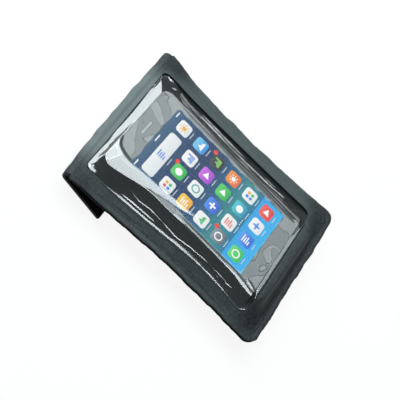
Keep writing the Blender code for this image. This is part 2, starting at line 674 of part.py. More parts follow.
def phone(housing_metal, glass, screen, mesh_metal, button_glass):
    """The phone: a shallow metal tray with a display, a cover glass, a home button and an earpiece."""
    bpy.ops.object.empty_add(location=(PHONE_X, PHONE_Y, PHONE_Z), rotation=(0, 0, PHONE_TURN))
    carrier = bpy.context.object
    carrier.name = "phone"
    glass_top = PHONE_THICKNESS
    glass_low = glass_top - GLASS_THICKNESS
    floor = glass_low - SEAT_GAP
    rim = glass_top - GLASS_PROUD
    display_width = PHONE_WIDTH - 2 * SIDE_BEZEL
    display_length = PHONE_LENGTH - TOP_BEZEL - BOTTOM_BEZEL
    display_y = (BOTTOM_BEZEL - TOP_BEZEL) / 2

    housing = rounded_slab("phone_housing", PHONE_WIDTH, PHONE_LENGTH, PHONE_CORNER_RADIUS, 0.0, rim)
    bevel = housing.modifiers.new("edge", "BEVEL")
    bevel.width = PHONE_EDGE
    bevel.segments = 2
    bevel.limit_method = "ANGLE"
    bevel.angle_limit = BEVEL_ANGLE
    finish(housing, housing_metal, carrier)
    inner_radius = PHONE_CORNER_RADIUS - GLASS_INSET
    tray = rounded_slab(
        "glass_recess", PHONE_WIDTH - 2 * GLASS_INSET, PHONE_LENGTH - 2 * GLASS_INSET, inner_radius,
        floor, rim + CUT_PAST,
    )
    cut(housing, tray)
    well_depth = DISPLAY_THICKNESS + SEAT_GAP + CUT_PAST
    well = box(
        "display_well",
        (display_width + 2 * SEAT_GAP, display_length + 2 * SEAT_GAP, well_depth),
        (0, display_y, floor + CUT_PAST - well_depth / 2),
    )
    cut(housing, well)

    display = box(
        "phone_display", (display_width, display_length, DISPLAY_THICKNESS),
        (0, display_y, floor - DISPLAY_THICKNESS / 2),
    )
    finish(display, screen, carrier)

    edge = GLASS_INSET + SEAT_GAP
    cover = rounded_slab(
        "phone_cover_glass", PHONE_WIDTH - 2 * edge, PHONE_LENGTH - 2 * edge, PHONE_CORNER_RADIUS - edge,
        glass_low, glass_top,
    )
    finish(cover, glass, carrier)
    button_y = -PHONE_LENGTH / 2 + HOME_BUTTON_INSET
    earpiece_y = PHONE_LENGTH / 2 - EARPIECE_INSET
    hole_radius = HOME_BUTTON_RADIUS + SEAT_GAP
    button_low = glass_top - HOME_BUTTON_SINK - HOME_BUTTON_HEIGHT
    pocket_low = button_low - HOME_BUTTON_TRAVEL - SEAT_GAP
    centre = (0, button_y)
    hole = cylinder("button_hole", hole_radius, glass_low - CUT_PAST, glass_top + CUT_PAST, ROUND_STEPS, centre)
    cut(cover, hole)
    cut(housing, cylinder("button_pocket", hole_radius, pocket_low, floor + CUT_PAST, ROUND_STEPS, centre))
    slot = rounded_slab(
        "earpiece_slot", EARPIECE_WIDTH, EARPIECE_HEIGHT, (EARPIECE_HEIGHT - ROUND_END_FLAT) / 2,
        glass_low - CUT_PAST, glass_top + CUT_PAST,
    )
    slot.location = (0, earpiece_y, 0)
    cut(cover, slot)

    profile = [
        (0.0, HOME_BUTTON_HEIGHT - HOME_BUTTON_DISH),
        (HOME_BUTTON_RADIUS - HOME_BUTTON_RIM, HOME_BUTTON_HEIGHT - HOME_BUTTON_DISH / 2),
        (HOME_BUTTON_RADIUS, HOME_BUTTON_HEIGHT),
        (HOME_BUTTON_RADIUS, 0.0),
        (0.0, 0.0),
    ]
    button = finish(turned("phone_home_button", profile, ROUND_STEPS), button_glass, carrier)
    button.location = (0, button_y, button_low)
    grille_height = EARPIECE_HEIGHT - 2 * SEAT_GAP
    grille = rounded_slab(
        "phone_earpiece", EARPIECE_WIDTH - 2 * SEAT_GAP, grille_height, (grille_height - ROUND_END_FLAT) / 2,
        glass_low, glass_low + EARPIECE_THICKNESS,
    )
    grille.location = (0, earpiece_y, 0)
    finish(grille, mesh_metal, carrier)


for old in list(bpy.data.objects):
    bpy.data.objects.remove(old)
CASE = bpy.data.collections.new("bicycle_phone_case")
CUTTERS = bpy.data.collections.new("cutters")
bpy.context.scene.collection.children.link(CASE)
bpy.context.scene.collection.children.link(CUTTERS)

coated_fabric = material("coated_fabric", FABRIC, 0.55)
inner_fabric = material("inner_fabric", FABRIC_INSIDE, 0.7)
clear_film = material("clear_film", CLEAR, 0.05, alpha=0.25)
hook_and_loop = material("hook_and_loop", HOOKS, 0.95)
moulded_plastic = material("moulded_plastic", MOULDED_BLACK, 0.5)
screw_steel = material("screw_steel", STEEL, 0.35, metallic=1.0)
phone_metal = material("phone_metal", GRAPHITE, 0.4, metallic=1.0)
cover_glass = material("cover_glass", BLACK_GLASS, 0.05)
display_face = material("display_face", SCREEN_BLUE, 0.3)
button_face = material("button_face", BLACK_GLASS, 0.2)
earpiece_mesh = material("earpiece_mesh", GRAPHITE, 0.6, metallic=1.0)

front_panel(coated_fabric)
back_panel(inner_fabric)
window_film(clear_film)
closure_strips(hook_and_loop)
mount_adapter(moulded_plastic)
backing_plate(moulded_plastic)
adapter_screws(screw_steel)
phone(phone_metal, cover_glass, display_face, earpiece_mesh, button_face)
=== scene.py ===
"""Looks of a soft bicycle phone case: a welded pouch of coated fabric with a clear window, folded
shut over its back, on a quarter-turn adapter, with a phone inside.

Metres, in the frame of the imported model. +Z is up, out of the window, and +Y runs to the fold.
"""

import math

import bmesh
import bpy
import numpy as np
from bpy.props import FloatProperty, FloatVectorProperty, PointerProperty
from mathutils import Matrix, Vector, noise


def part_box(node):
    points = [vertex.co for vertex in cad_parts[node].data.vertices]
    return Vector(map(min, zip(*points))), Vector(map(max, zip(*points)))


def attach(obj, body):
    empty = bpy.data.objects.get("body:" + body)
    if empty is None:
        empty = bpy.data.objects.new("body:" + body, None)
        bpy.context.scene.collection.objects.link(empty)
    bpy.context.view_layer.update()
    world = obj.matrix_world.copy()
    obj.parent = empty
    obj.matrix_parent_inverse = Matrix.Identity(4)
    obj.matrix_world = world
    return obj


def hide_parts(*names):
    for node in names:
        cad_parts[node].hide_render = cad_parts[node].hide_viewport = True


bl_info = {
    "name": "Bicycle Phone Case",
    "version": (1, 0, 0),
    "blender": (4, 5, 0),
    "location": "View3D > Sidebar > Phone Case",
    "description": "Builds the looks of a soft bicycle phone case around its packed model",
    "category": "Object",
}

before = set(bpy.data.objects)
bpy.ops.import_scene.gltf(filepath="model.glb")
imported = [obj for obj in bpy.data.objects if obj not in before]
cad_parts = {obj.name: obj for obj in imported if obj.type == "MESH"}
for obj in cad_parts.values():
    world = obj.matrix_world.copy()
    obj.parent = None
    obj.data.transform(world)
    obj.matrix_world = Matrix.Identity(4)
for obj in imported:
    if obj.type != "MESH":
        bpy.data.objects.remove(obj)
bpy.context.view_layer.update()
MM = 0.001

# Pouch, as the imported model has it
POUCH_WIDTH = 0.1085
POUCH_LENGTH = 0.1452
PANEL_THICKNESS = 0.0010
SEAM_WIDTH = 0.0045
SEAM_RISE = 0.0030
BOTTOM_CORNER_RADIUS = 0.0080
FOLD_CORNER_RADIUS = 0.0010
SIDE_BOW = 0.0034
FOLD_BOW = 0.0012
FOLD_INNER_RADIUS = 0.0015
FLAP_LENGTH = 0.0300
FLAP_BLEND = 0.0280
BACK_FLAT_INSET = 0.0130
LAYER_GAP = 0.0003

# Window
WINDOW_WIDTH = 0.0838
WINDOW_LENGTH = 0.1204
WINDOW_X = -0.0010
WINDOW_Y = 0.0038
WINDOW_BOTTOM_CORNER_RADIUS = 0.0045
WINDOW_TOP_CORNER_RADIUS = 0.0028
WINDOW_BOW = 0.0012
WINDOW_REACH = 0.0011
WINDOW_SAG = 0.0020
WINDOW_SAG_Y = -0.0180
WINDOW_SAG_SPREAD = 0.0300
WRAP = 0.0012
TENT_CORNER_RADIUS = 0.0060
TENT_POWER = 1.5
CROWN_ROUNDING = 0.12
STEEPEST = 1.8
FILM_LAP = 0.0030
FILM_LAP_AT_ENDS = 0.0012
FILM_INSET = 0.0025
FILM_DEPTH = 0.0015
FILM_OVER_EDGE = 0.00042
FILM_OVER_GLASS = 0.00045
FILM_BULGE = 0.0010
FILM_BULGE_WIDTH = 0.0010
FILM_BULGE_SHARE = 0.28
FILM_BULGE_START = 0.0480
FILM_BULGE_FADE = 0.0120
FILM_WAVE = 0.00006
FILM_WAVE_PITCH = 0.0160
RIPPLE_PITCH = 0.0022
RIPPLE_LENGTH = 0.0130
RIPPLE_END = 0.0460
RIPPLE_FADE = 0.0080
SPINE_SHARE = 0.7
FOLD_FREE_RINGS = 5

# How steeply the film drops: power of a short slope, what a long one adds, and from which width on
SLOPE_POWER = (1.15, 0.45)
SLOPE_WIDTH = (0.0040, 0.0060)

# Where the film wets the screen: how fully, and how soft and how ragged its edge is
WET = 0.94
WET_EDGE = 0.0010
WET_WANDER = 0.0015
WET_PITCH = 0.0060
WET_CORNER_RADIUS = 0.0020
FREE_LIFT = 0.0002

# How far the film is drawn out past the phone's left edge, from which y on, and over what length
DRAWN_OUT_ABOVE = (0.0068, 0.0250, 0.0330)
DRAWN_OUT_BELOW = (0.0019, -0.0380, -0.0140)

# Phone
PHONE_WIDTH = 0.0586
PHONE_LENGTH = 0.1206
PHONE_X = -0.0004
PHONE_Y = 0.0
PHONE_TURN = math.radians(-2.3)
SCREEN_WIDTH = 0.0500
SCREEN_LENGTH = 0.0885
SCREEN_Y = 0.00205
SCREEN_LAYER = 0.00005

# Closure, of hook tape on the flap and loop tape on the back
CLOSURE_WIDTH = 0.0840
CLOSURE_STRIP = 0.0090
CLOSURE_CORNER_RADIUS = 0.0015
CLOSURE_END_INSET = 0.0020
TAPE_BASE = 0.00042
SELVEDGE = 0.0008

# Screw holes in the back
SCREW_CIRCLE_RADIUS = 0.0167
SCREW_ANGLE = math.radians(36)
SCREW_HOLE_RADIUS = 0.0013

# Levels
BACK_Z = 0.0078
PHONE_TOP_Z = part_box("phone_cover_glass")[1].z
CROWN_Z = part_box("front_panel")[1].z
FILM_TOP_Z = PHONE_TOP_Z + FILM_OVER_GLASS
BACK_SEAM_Z = BACK_Z + SEAM_RISE
FRONT_SEAM_Z = BACK_SEAM_Z + 2 * PANEL_THICKNESS + LAYER_GAP
FOLD_OUTER_RADIUS = FOLD_INNER_RADIUS + 2 * PANEL_THICKNESS + LAYER_GAP
FOLD_Z = (BACK_SEAM_Z + FRONT_SEAM_Z) / 2
FOLD_Y = POUCH_LENGTH / 2 - FOLD_BOW - FOLD_OUTER_RADIUS
BOTTOM_Y = -POUCH_LENGTH / 2
FLAP_REACH = math.hypot(FOLD_OUTER_RADIUS, FLAP_LENGTH)
FLAP_ANGLE = math.atan2(FLAP_LENGTH, FOLD_OUTER_RADIUS) - math.acos((FOLD_Z - LAYER_GAP) / FLAP_REACH)

# Painted sheen on the coating, paler towards the fold, and painted shade at the corners and the bottom seam:
# where the sheen starts, over what lengths, and how far along the left and the right side
PAINTED_SHEEN_START = 0.0440
PAINTED_SHEEN_LENGTH = 0.0200
PAINTED_SHEEN_LENGTH_AT_BOTTOM = 0.7 * PAINTED_SHEEN_LENGTH
PAINTED_SHADE_CORNER = 0.0080
PAINTED_SHEEN_AT_SIDES = (0.15, 0.45)

# How the panels' edge strays outwards and up: pitch, seed and share of each swell
EDGE_OUT = ((0.0110, 3.1, 1.0), (0.0045, 7.7, 0.6), (0.0021, 1.3, 0.45))
EDGE_UP = ((0.0160, 11.3, 1.0), (0.0060, 5.9, 0.5))
PUCKER_PITCH = 0.0065
PUCKER_FADE_POWER = 1.5
SWELL_PITCH = 0.0200
FOLD_WANDER_PITCH = 0.0080

# Points per corner, per end and per side of a ring, and rows over the fold and down the flap
STEPS = (10, 76, 150)
FOLD_STEPS = 18
FLAP_STEPS = 20
SLOPE_RINGS = 22
FILM_RINGS = 34
PHONE_RINGS = 44
BACK_RINGS = 12
BACK_WELD = (0.0, 0.1, 0.35, 0.65, 0.85)
HOLE_STEPS = 24

# The weld: share of the seam's width from its edge, and how far the surface lies off the plain form
WELD = (
    (0.00, -0.00028),
    (0.04, -0.00008),
    (0.11, 0.00012),
    (0.30, 0.00014),
    (0.52, 0.00004),
    (0.64, -0.00014),
    (0.74, -0.00018),
    (0.86, -0.00008),
    (0.95, 0.00002),
)

# Round the window: share from the film's lap to the window's edge, and the film's weld line there
WINDOW_WELD = (
    (0.20, 0.0),
    (0.38, -0.00008),
    (0.48, -0.00014),
    (0.58, -0.00008),
    (0.80, 0.0),
    (0.93, -0.00004),
    (1.00, -0.00022),
)

# Folds of the film. Each point is x, y, height, and the width of the flank to its left (-x) and to
# its right (+x), all in millimetres, and each fold runs down from +y.
FOLDS = (
    # From the window's corner over the phone's, where the film is drawn tight
    (
        (-13.0, 60.8, 0.1, 1.0, 1.2), (-18.0, 59.6, 0.7, 3.0, 1.4), (-21.0, 57.6, 1.3, 7.0, 1.8),
        (-23.2, 53.5, 1.9, 10.6, 2.4), (-24.0, 49.0, 1.9, 10.0, 2.4), (-23.4, 44.0, 1.7, 8.8, 2.2),
        (-22.4, 35.0, 1.3, 6.8, 1.8), (-22.2, 28.0, 0.95, 5.0, 1.6), (-21.0, 18.0, 0.75, 4.0, 1.4),
        (-20.6, 10.0, 0.65, 3.4, 1.2), (-19.8, 2.0, 0.3, 1.8, 1.0), (-19.4, -6.0, 0.05, 1.0, 1.0),
    ),
    # Over the phone's other corner on that side
    (
        (-27.8, -30.0, 0.05, 0.8, 0.8), (-28.6, -38.0, 0.35, 1.6, 1.0), (-29.4, -43.0, 0.4, 1.9, 1.0),
        (-30.6, -48.0, 0.5, 2.3, 1.0), (-31.4, -53.0, 0.5, 2.3, 0.8),
    ),
    (
        (-26.4, -44.0, 0.05, 0.8, 0.8), (-27.4, -49.0, 0.4, 2.0, 0.8), (-29.0, -53.6, 0.3, 1.6, 0.6),
    ),
    # Along the phone's left edge, and a hollow along its right edge
    (
        (-27.6, 12.0, 0.1, 0.8, 1.5), (-28.0, 4.0, 0.45, 1.0, 3.0), (-28.6, -10.0, 0.5, 1.0, 3.0),
        (-29.2, -24.0, 0.5, 1.0, 3.0), (-29.6, -34.0, 0.4, 1.0, 2.6), (-30.2, -42.0, 0.1, 1.0, 1.5),
    ),
    (
        (30.6, 48.0, -0.1, 1.5, 0.8), (30.1, 36.0, -0.34, 3.2, 0.8), (29.3, 12.0, -0.34, 3.2, 0.8),
        (28.2, -14.0, -0.34, 3.2, 0.8), (27.2, -38.0, -0.34, 3.2, 0.8), (26.8, -50.0, -0.3, 3.0, 0.8),
    ),
    # Left of the phone
    (
        (-36.2, 50.0, 0.01, 0.6, 0.6), (-35.8, 44.0, 0.18, 0.8, 0.9), (-35.0, 38.0, 0.27, 0.9, 0.9),
        (-36.0, 30.0, 0.24, 0.9, 1.1), (-35.1, 22.0, 0.31, 0.9, 0.9), (-35.8, 12.0, 0.24, 0.9, 1.1),
        (-36.8, 1.0, 0.27, 0.9, 1.0), (-35.6, -10.0, 0.27, 0.9, 0.9), (-35.3, -23.4, 0.27, 0.9, 1.0),
        (-36.0, -34.0, 0.24, 0.8, 0.9), (-37.4, -46.0, 0.06, 0.7, 0.7),
    ),
    (
        (-33.4, 20.0, 0.03, 0.8, 0.8), (-34.0, 8.0, 0.18, 0.7, 0.9), (-34.2, -6.0, 0.15, 0.7, 0.8),
        (-33.6, -20.0, 0.03, 0.8, 0.8),
    ),
    (
        (-39.6, 44.0, 0.03, 0.8, 0.8), (-39.0, 34.0, 0.15, 0.8, 0.9), (-38.6, 22.0, 0.15, 0.8, 0.9),
        (-38.0, 10.0, 0.03, 0.8, 0.8),
    ),
    (
        (-33.4, -14.0, 0.03, 0.8, 0.8), (-34.0, -26.0, 0.18, 0.8, 0.8), (-34.0, -38.0, 0.21, 0.7, 0.8),
        (-34.8, -52.0, 0.03, 0.8, 0.8),
    ),
    (
        (-38.0, -20.0, 0.03, 0.8, 0.8), (-37.4, -32.0, 0.15, 0.6, 0.8), (-36.6, -42.0, 0.21, 0.6, 0.8),
        (-36.0, -53.5, 0.03, 0.5, 0.8),
    ),
    (
        (-39.4, -40.0, 0.03, 0.8, 0.8), (-38.2, -47.0, 0.18, 0.6, 0.6), (-37.0, -54.6, 0.03, 0.6, 0.6),
    ),
    # Right of the phone
    (
        (34.6, 58.0, 0.1, 1.2, 1.2), (37.4, 50.0, 0.8, 1.4, 1.4), (35.8, 42.0, 0.9, 1.3, 1.3),
        (35.6, 30.0, 0.9, 1.4, 1.2), (34.6, 16.0, 1.0, 1.3, 1.4), (34.0, 2.0, 0.8, 1.2, 1.4),
        (34.2, -14.0, 0.9, 1.2, 1.3), (34.4, -24.0, 0.8, 1.2, 1.2), (35.6, -38.0, 0.8, 1.1, 1.2),
        (37.8, -51.0, 0.1, 1.0, 1.0),
    ),
    (
        (31.6, 40.0, 0.1, 1.0, 1.0), (32.2, 28.0, 0.4, 1.0, 1.2), (31.8, 12.0, 0.5, 1.0, 1.1),
        (31.2, -2.0, 0.1, 1.0, 1.0),
    ),
    (
        (38.2, 34.0, 0.1, 1.0, 1.0), (37.4, 20.0, 0.6, 1.0, 1.2), (36.8, 6.0, 0.6, 1.0, 1.1),
        (36.8, -8.0, 0.1, 1.0, 1.0),
    ),
    (
        (31.4, -10.0, 0.1, 1.0, 1.0), (31.8, -24.0, 0.5, 1.0, 1.0), (32.6, -38.0, 0.6, 0.9, 1.0),
        (34.0, -50.0, 0.1, 1.0, 1.0),
    ),
    (
        (37.0, -18.0, 0.1, 1.0, 1.0), (36.6, -30.0, 0.5, 0.9, 1.0), (38.0, -42.0, 0.1, 0.9, 1.0),
    ),
)


def smoothstep(t):
    """0 below 0, 1 above 1, and smooth between."""
    t = min(max(t, 0.0), 1.0)
    return t * t * (3 - 2 * t)


def mix(first, second, share):
    """A point or a colour this share of the way from the first to the second."""
    return tuple(a + (b - a) * share for a, b in zip(first, second))


def wander(x, y, pitch, seed):
    """Smooth noise from -1 to 1, whose swells are this far apart."""
    return noise.noise(Vector((x / pitch, y / pitch, seed)))


def linear(colour):
    """An sRGB hex colour as linear red, green, blue and alpha."""
    channels = [int(colour[i : i + 2], 16) / 255 for i in (1, 3, 5)]
    return (*[c / 12.92 if c <= 0.04045 else ((c + 0.055) / 1.055) ** 2.4 for c in channels], 1.0)


def outside_distance(x, y, half_width, half_length, radius):
    """How far a point is outside a rounded rectangle, negative inside."""
    dx = abs(x) - half_width + radius
    dy = abs(y) - half_length + radius
    return math.hypot(max(dx, 0), max(dy, 0)) + min(max(dx, dy), 0) - radius


def to_phone(x, y):
    """A point of the pouch as the phone's own width and length see it."""
    dx, dy = x - PHONE_X, y - PHONE_Y
    c, s = math.cos(PHONE_TURN), math.sin(PHONE_TURN)
    return c * dx + s * dy, -s * dx + c * dy


def from_phone(x, y):
    """A point given along the phone's width and length, in the pouch."""
    c, s = math.cos(PHONE_TURN), math.sin(PHONE_TURN)
    return PHONE_X + c * x - s * y, PHONE_Y + s * x + c * y


def near_fold(y):
    """0 along the pouch, and up to 1 at the fold."""
    return smoothstep((y - FOLD_Y + FLAP_BLEND) / FLAP_BLEND)


def rim_height(y, low, high):
    """The seam is level, and swells to the height of the fold over the last of its length."""
    return low + (high - low) * near_fold(y)


def front_height(x, y):
    """Top of the front panel: level over the phone, and down from its edge to the seam like a tent."""
    px, py = to_phone(x, y)
    past_edge = outside_distance(px, py, PHONE_WIDTH / 2, PHONE_LENGTH / 2, TENT_CORNER_RADIUS)
    to_body = max(past_edge - WRAP, 0)
    half_width = POUCH_WIDTH / 2 - SEAM_WIDTH
    middle = (FOLD_Y + BOTTOM_Y + SEAM_WIDTH) / 2
    half_length = (FOLD_Y - BOTTOM_Y - SEAM_WIDTH) / 2
    to_seam = max(-outside_distance(x, y - middle, half_width, half_length, BOTTOM_CORNER_RADIUS), 0)
    rim = rim_height(y, FRONT_SEAM_Z, FOLD_Z + FOLD_OUTER_RADIUS)
    share = to_body / (to_body + to_seam) if to_body + to_seam > 0 else 1.0
    share = share**2 * (1 + CROWN_ROUNDING) / (share + CROWN_ROUNDING)
    return rim + (CROWN_Z - rim) * (1 - share) ** TENT_POWER


def below_front(x, y, depth):
    """A height that lies this deep under the front panel's top, measured square to its slope."""
    step = 0.0002
    slope_x = (front_height(x + step, y) - front_height(x - step, y)) / (2 * step)
    slope_y = (front_height(x, y + step) - front_height(x, y - step)) / (2 * step)
    return front_height(x, y) - depth * min(math.sqrt(1 + slope_x**2 + slope_y**2), STEEPEST)


def film_rim(x, y):
    """Level of the film under the front panel's edge: no higher than it is over the phone."""
    return min(below_front(x, y, FILM_DEPTH), FILM_TOP_Z)


def back_height(x, y):
    """Underside of the back panel: flat under the phone, rising to the seam and to the fold."""
    rim = rim_height(y, BACK_SEAM_Z, FOLD_Z + FOLD_INNER_RADIUS)
    to_side = POUCH_WIDTH / 2 - SEAM_WIDTH - abs(x)
    to_bottom = y - BOTTOM_Y - SEAM_WIDTH
    to_fold = FOLD_Y - y
    share = min(to_side, to_bottom, to_fold) / (BACK_FLAT_INSET - SEAM_WIDTH)
    return rim + (BACK_Z - rim) * smoothstep(share)


def outline(
    half_width, bottom, top, bottom_radius, top_radius, side_bow=0.0, top_bow=0.0, steps=STEPS
):
    """Anticlockwise points of a rounded rectangle, from the left end of its top edge.

    side_bow draws the long sides in at their middle, and top_bow swells the top edge.
    """
    corner_steps, end_steps, side_steps = steps
    corners = (
        (-half_width + top_radius, top - top_radius, top_radius, math.pi / 2),
        (-half_width + bottom_radius, bottom + bottom_radius, bottom_radius, math.pi),
        (half_width - bottom_radius, bottom + bottom_radius, bottom_radius, 3 * math.pi / 2),
        (half_width - top_radius, top - top_radius, top_radius, 2 * math.pi),
    )
    points = []
    for index, (cx, cy, radius, start) in enumerate(corners):
        for step in range(corner_steps + 1):
            angle = start + math.pi / 2 * step / corner_steps
            points.append((cx + radius * math.cos(angle), cy + radius * math.sin(angle)))
        following = corners[(index + 1) % 4]
        begin = points[-1]
        end = (
            following[0] + following[2] * math.cos(following[3]),
            following[1] + following[2] * math.sin(following[3]),
        )
        straight = side_steps if index % 2 == 0 else end_steps
        points.extend(mix(begin, end, step / straight) for step in range(1, straight))
    middle, half_length = (top + bottom) / 2, (top - bottom) / 2
    bowed = []
    for x, y in points:
        along = (y - middle) / half_length
        across = x / half_width
        drawn_in = side_bow * (1 - along**2) * across
        swell = top_bow * (1 - across**2) * max(along, 0.0)
        bowed.append((x - drawn_in, y + swell))
    return bowed


def between(first, second, share):
    """A ring of points part of the way from one ring to another."""
    return [mix(a, b, share) for a, b in zip(first, second)]


def pouch_rings():
    """The outer edge and the inner edge of the seam, as flat rings."""
    edge = outline(
        POUCH_WIDTH / 2, BOTTOM_Y, FOLD_Y, BOTTOM_CORNER_RADIUS, FOLD_CORNER_RADIUS, SIDE_BOW, FOLD_BOW
    )
    seam = outline(
        POUCH_WIDTH / 2 - SEAM_WIDTH,
        BOTTOM_Y + SEAM_WIDTH,
        FOLD_Y - FOLD_CORNER_RADIUS / 2,
        BOTTOM_CORNER_RADIUS - SEAM_WIDTH / 2,
        FOLD_CORNER_RADIUS,
        SIDE_BOW,
        FOLD_BOW,
    )
    return edge, seam


def window_ring(grow=0.0, grow_at_ends=0.0):
    """The window's edge, or a ring outside it that is further out beside it than at its ends."""
    bottom = WINDOW_Y - WINDOW_LENGTH / 2 - grow_at_ends
    top = WINDOW_Y + WINDOW_LENGTH / 2 + WINDOW_REACH + grow_at_ends
    ring = outline(
        WINDOW_WIDTH / 2 + grow,
        bottom,
        top,
        WINDOW_BOTTOM_CORNER_RADIUS + grow_at_ends,
        WINDOW_TOP_CORNER_RADIUS + grow_at_ends,
        WINDOW_BOW,
    )
    placed = []
    for x, y in ring:
        # The left edge sags towards the phone, and the sag fades out a quarter of the width inside.
        sag = WINDOW_SAG * math.exp(-(((y - WINDOW_SAG_Y) / WINDOW_SAG_SPREAD) ** 2)) if x < 0 else 0.0
        placed.append((x + WINDOW_X + sag * smoothstep(-x / WINDOW_WIDTH * 4 - 1), y))
    return placed


def phone_ring():
    """Where the film leaves the phone, drawn out at its left corners and kept inside the window."""
    half_width, half_length = PHONE_WIDTH / 2, PHONE_LENGTH / 2
    over = outline(half_width, -half_length, half_length, TENT_CORNER_RADIUS, TENT_CORNER_RADIUS)
    low_y = WINDOW_Y - WINDOW_LENGTH / 2 + FILM_INSET
    high_y = WINDOW_Y + WINDOW_LENGTH / 2 + WINDOW_REACH - FILM_INSET
    placed = []
    for px, py in over:
        x, y = from_phone(px, py)
        if px < 0:
            # Full from half of the way to the edge on, and nothing at the middle
            for reach, start, length in (DRAWN_OUT_ABOVE, DRAWN_OUT_BELOW):
                x -= reach * smoothstep((y - start) / length) * smoothstep(-px / half_width * 4 - 1)
        placed.append((x, min(max(y, low_y), high_y)))
    return placed


def fold_tail(start_ring, radius, stray):
    """Rows over the fold and down the flap, for the layer whose outer face turns at this radius."""
    row = start_ring[-STEPS[1]:] + start_ring[:1]
    rows = []
    turn = math.pi - FLAP_ANGLE
    for step in range(1, FOLD_STEPS + 1):
        angle = math.pi / 2 - turn * step / FOLD_STEPS
        bulge = radius + stray * math.sin(math.pi * step / FOLD_STEPS)
        made = []
        for x, y in row:
            out = radius + (bulge - radius) * wander(x, 0.0, FOLD_WANDER_PITCH, 6.6)
            made.append((x, y + out * math.cos(angle), FOLD_Z + out * math.sin(angle)))
        rows.append(made)
    last = rows[-1]
    end_y = last[0][1]
    for step in range(1, FLAP_STEPS + 1):
        # The fold's swell fades along the flap, so that its end is straight.
        share = step / FLAP_STEPS
        back = FLAP_LENGTH * share * math.cos(FLAP_ANGLE)
        down = FLAP_LENGTH * share * math.sin(FLAP_ANGLE)
        rows.append([(x, y - back - share * (y - end_y), z - down) for x, y, z in last])
    return rows


def circle(x, y, radius, steps):
    """Points round a circle."""
    angles = [2 * math.pi * i / steps for i in range(steps)]
    return [(x + radius * math.cos(a), y + radius * math.sin(a)) for a in angles]


def bridge(work, first, second):
    """Joins two closed loops of vertices with quads."""
    for i in range(len(first)):
        j = (i + 1) % len(first)
        work.faces.new((first[i], first[j], second[j], second[i]))


def place_mesh(name, work):
    """Makes the finished work mesh a piece of the scene."""
    mesh = bpy.data.meshes.new(name)
    work.to_mesh(mesh)
    work.free()
    made = bpy.data.objects.new(name, mesh)
    bpy.context.scene.collection.objects.link(made)
    return made


def fill_around(work, loop, holes):
    """Fills a level loop, but for round holes of (x, y, radius)."""
    level = loop[0].co.z
    rims = [loop]
    for x, y, radius in holes:
        rims.append([work.verts.new((hx, hy, level)) for hx, hy in circle(x, y, radius, HOLE_STEPS)])
    sides = []
    for rim in rims:
        sides += [work.edges.get(pair) or work.edges.new(pair) for pair in zip(rim, rim[1:] + rim[:1])]
    made = bmesh.ops.triangle_fill(work, use_beauty=True, edges=sides)
    if not made["geom"]:
        raise RuntimeError("The panel could not be filled round its holes")


def loft(name, rings, thickness=None, tail=(), cap=False, holes=(), upwards=True):
    """A soft panel through rings of (x, y, z) points, with rows that carry on over the fold.

    cap closes the last ring, and holes closes it round holes of (x, y, radius).
    """
    work = bmesh.new()
    loops = [[work.verts.new(point) for point in ring] for ring in rings]
    for outer, inner in zip(loops, loops[1:]):
        bridge(work, outer, inner)
    if holes:
        fill_around(work, loops[-1], holes)
    elif cap:
        work.faces.new(loops[-1])
    if tail:
        top = loops[0][-(len(tail[0]) - 1) :] + loops[0][:1]
        for row in tail:
            following = [work.verts.new(point) for point in row]
            for i in range(len(row) - 1):
                work.faces.new((top[i], following[i], following[i + 1], top[i + 1]))
            top = following
    bmesh.ops.recalc_face_normals(work, faces=work.faces)
    work.faces.ensure_lookup_table()
    work.normal_update()
    between_rings = work.faces[: len(loops[0]) * (len(rings) - 1)]
    if (sum(face.normal.z * face.calc_area() for face in between_rings) > 0) != upwards:
        bmesh.ops.reverse_faces(work, faces=work.faces)
    made = place_mesh(name, work)
    made.data.shade_smooth()
    if thickness:
        solidify = made.modifiers.new("thickness", "SOLIDIFY")
        solidify.thickness = thickness
        solidify.offset = -1.0
    return made


def dress(obj, material, body="case", replaces=()):
    """Gives a piece its material, slot and body, and hides the nodes that it stands for."""
    obj.data.materials.clear()
    obj.data.materials.append(material)
    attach(obj, body)
    if replaces:
        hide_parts(*replaces)
    return obj


def coat_nodes(names, material):
    """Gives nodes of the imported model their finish."""
    for name in names:
        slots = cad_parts[name].material_slots
        if not slots:
            raise RuntimeError(f"{name} has no material slot")
        for slot in slots:
            slot.material = material


# A fold's flank, as a share of its width: how softly it runs out at the foot, how far beyond the
# foot it is let go, and where its crest is rounded, and how much
FOLD_FOOT = 0.01
FOLD_LET_GO = -1.5
FOLD_CREST = 0.9
FOLD_ROUNDING = 3


def fold_lift(x, y, fold):
    """Height in millimetres that a fold adds to the film at arrays of points in millimetres."""
    best = np.full(x.shape, np.inf)
    lift = np.zeros(x.shape)
    for (ax, ay, *first), (bx, by, *second) in zip(fold, fold[1:]):
        dx, dy = bx - ax, by - ay
        along = np.clip(((x - ax) * dx + (y - ay) * dy) / (dx**2 + dy**2), 0, 1)
        off = np.hypot(x - ax - along * dx, y - ay - along * dy)
        height, left, right = (a + (b - a) * along for a, b in zip(first, second))
        is_left = (x - ax) * dy > (y - ay) * dx
        share = 1 - off / np.where(is_left, left, right)
        ramp = (share + np.sqrt(share**2 + FOLD_FOOT)) / 2
        crest = ramp - FOLD_ROUNDING * np.maximum(share - FOLD_CREST, 0) ** 2
        lift = np.where(off < best, height * crest * (share > FOLD_LET_GO), lift)
        best = np.minimum(off, best)
    return lift


def add(tree, kind, sockets=None, **settings):
    """Adds a node with its settings. A socket takes a value, or another node's output as a link.

    MapRange reads the range from 1 to 2 and gives 3 to 4. A colour Mix is 0: share, 6 and 7: colours.
    """
    node = tree.nodes.new("ShaderNode" + kind)
    for key, value in settings.items():
        setattr(node, key, value)
    for key, value in (sockets or {}).items():
        if isinstance(value, bpy.types.NodeSocket):
            tree.links.new(value, node.inputs[key])
        else:
            node.inputs[key].default_value = value
    return node


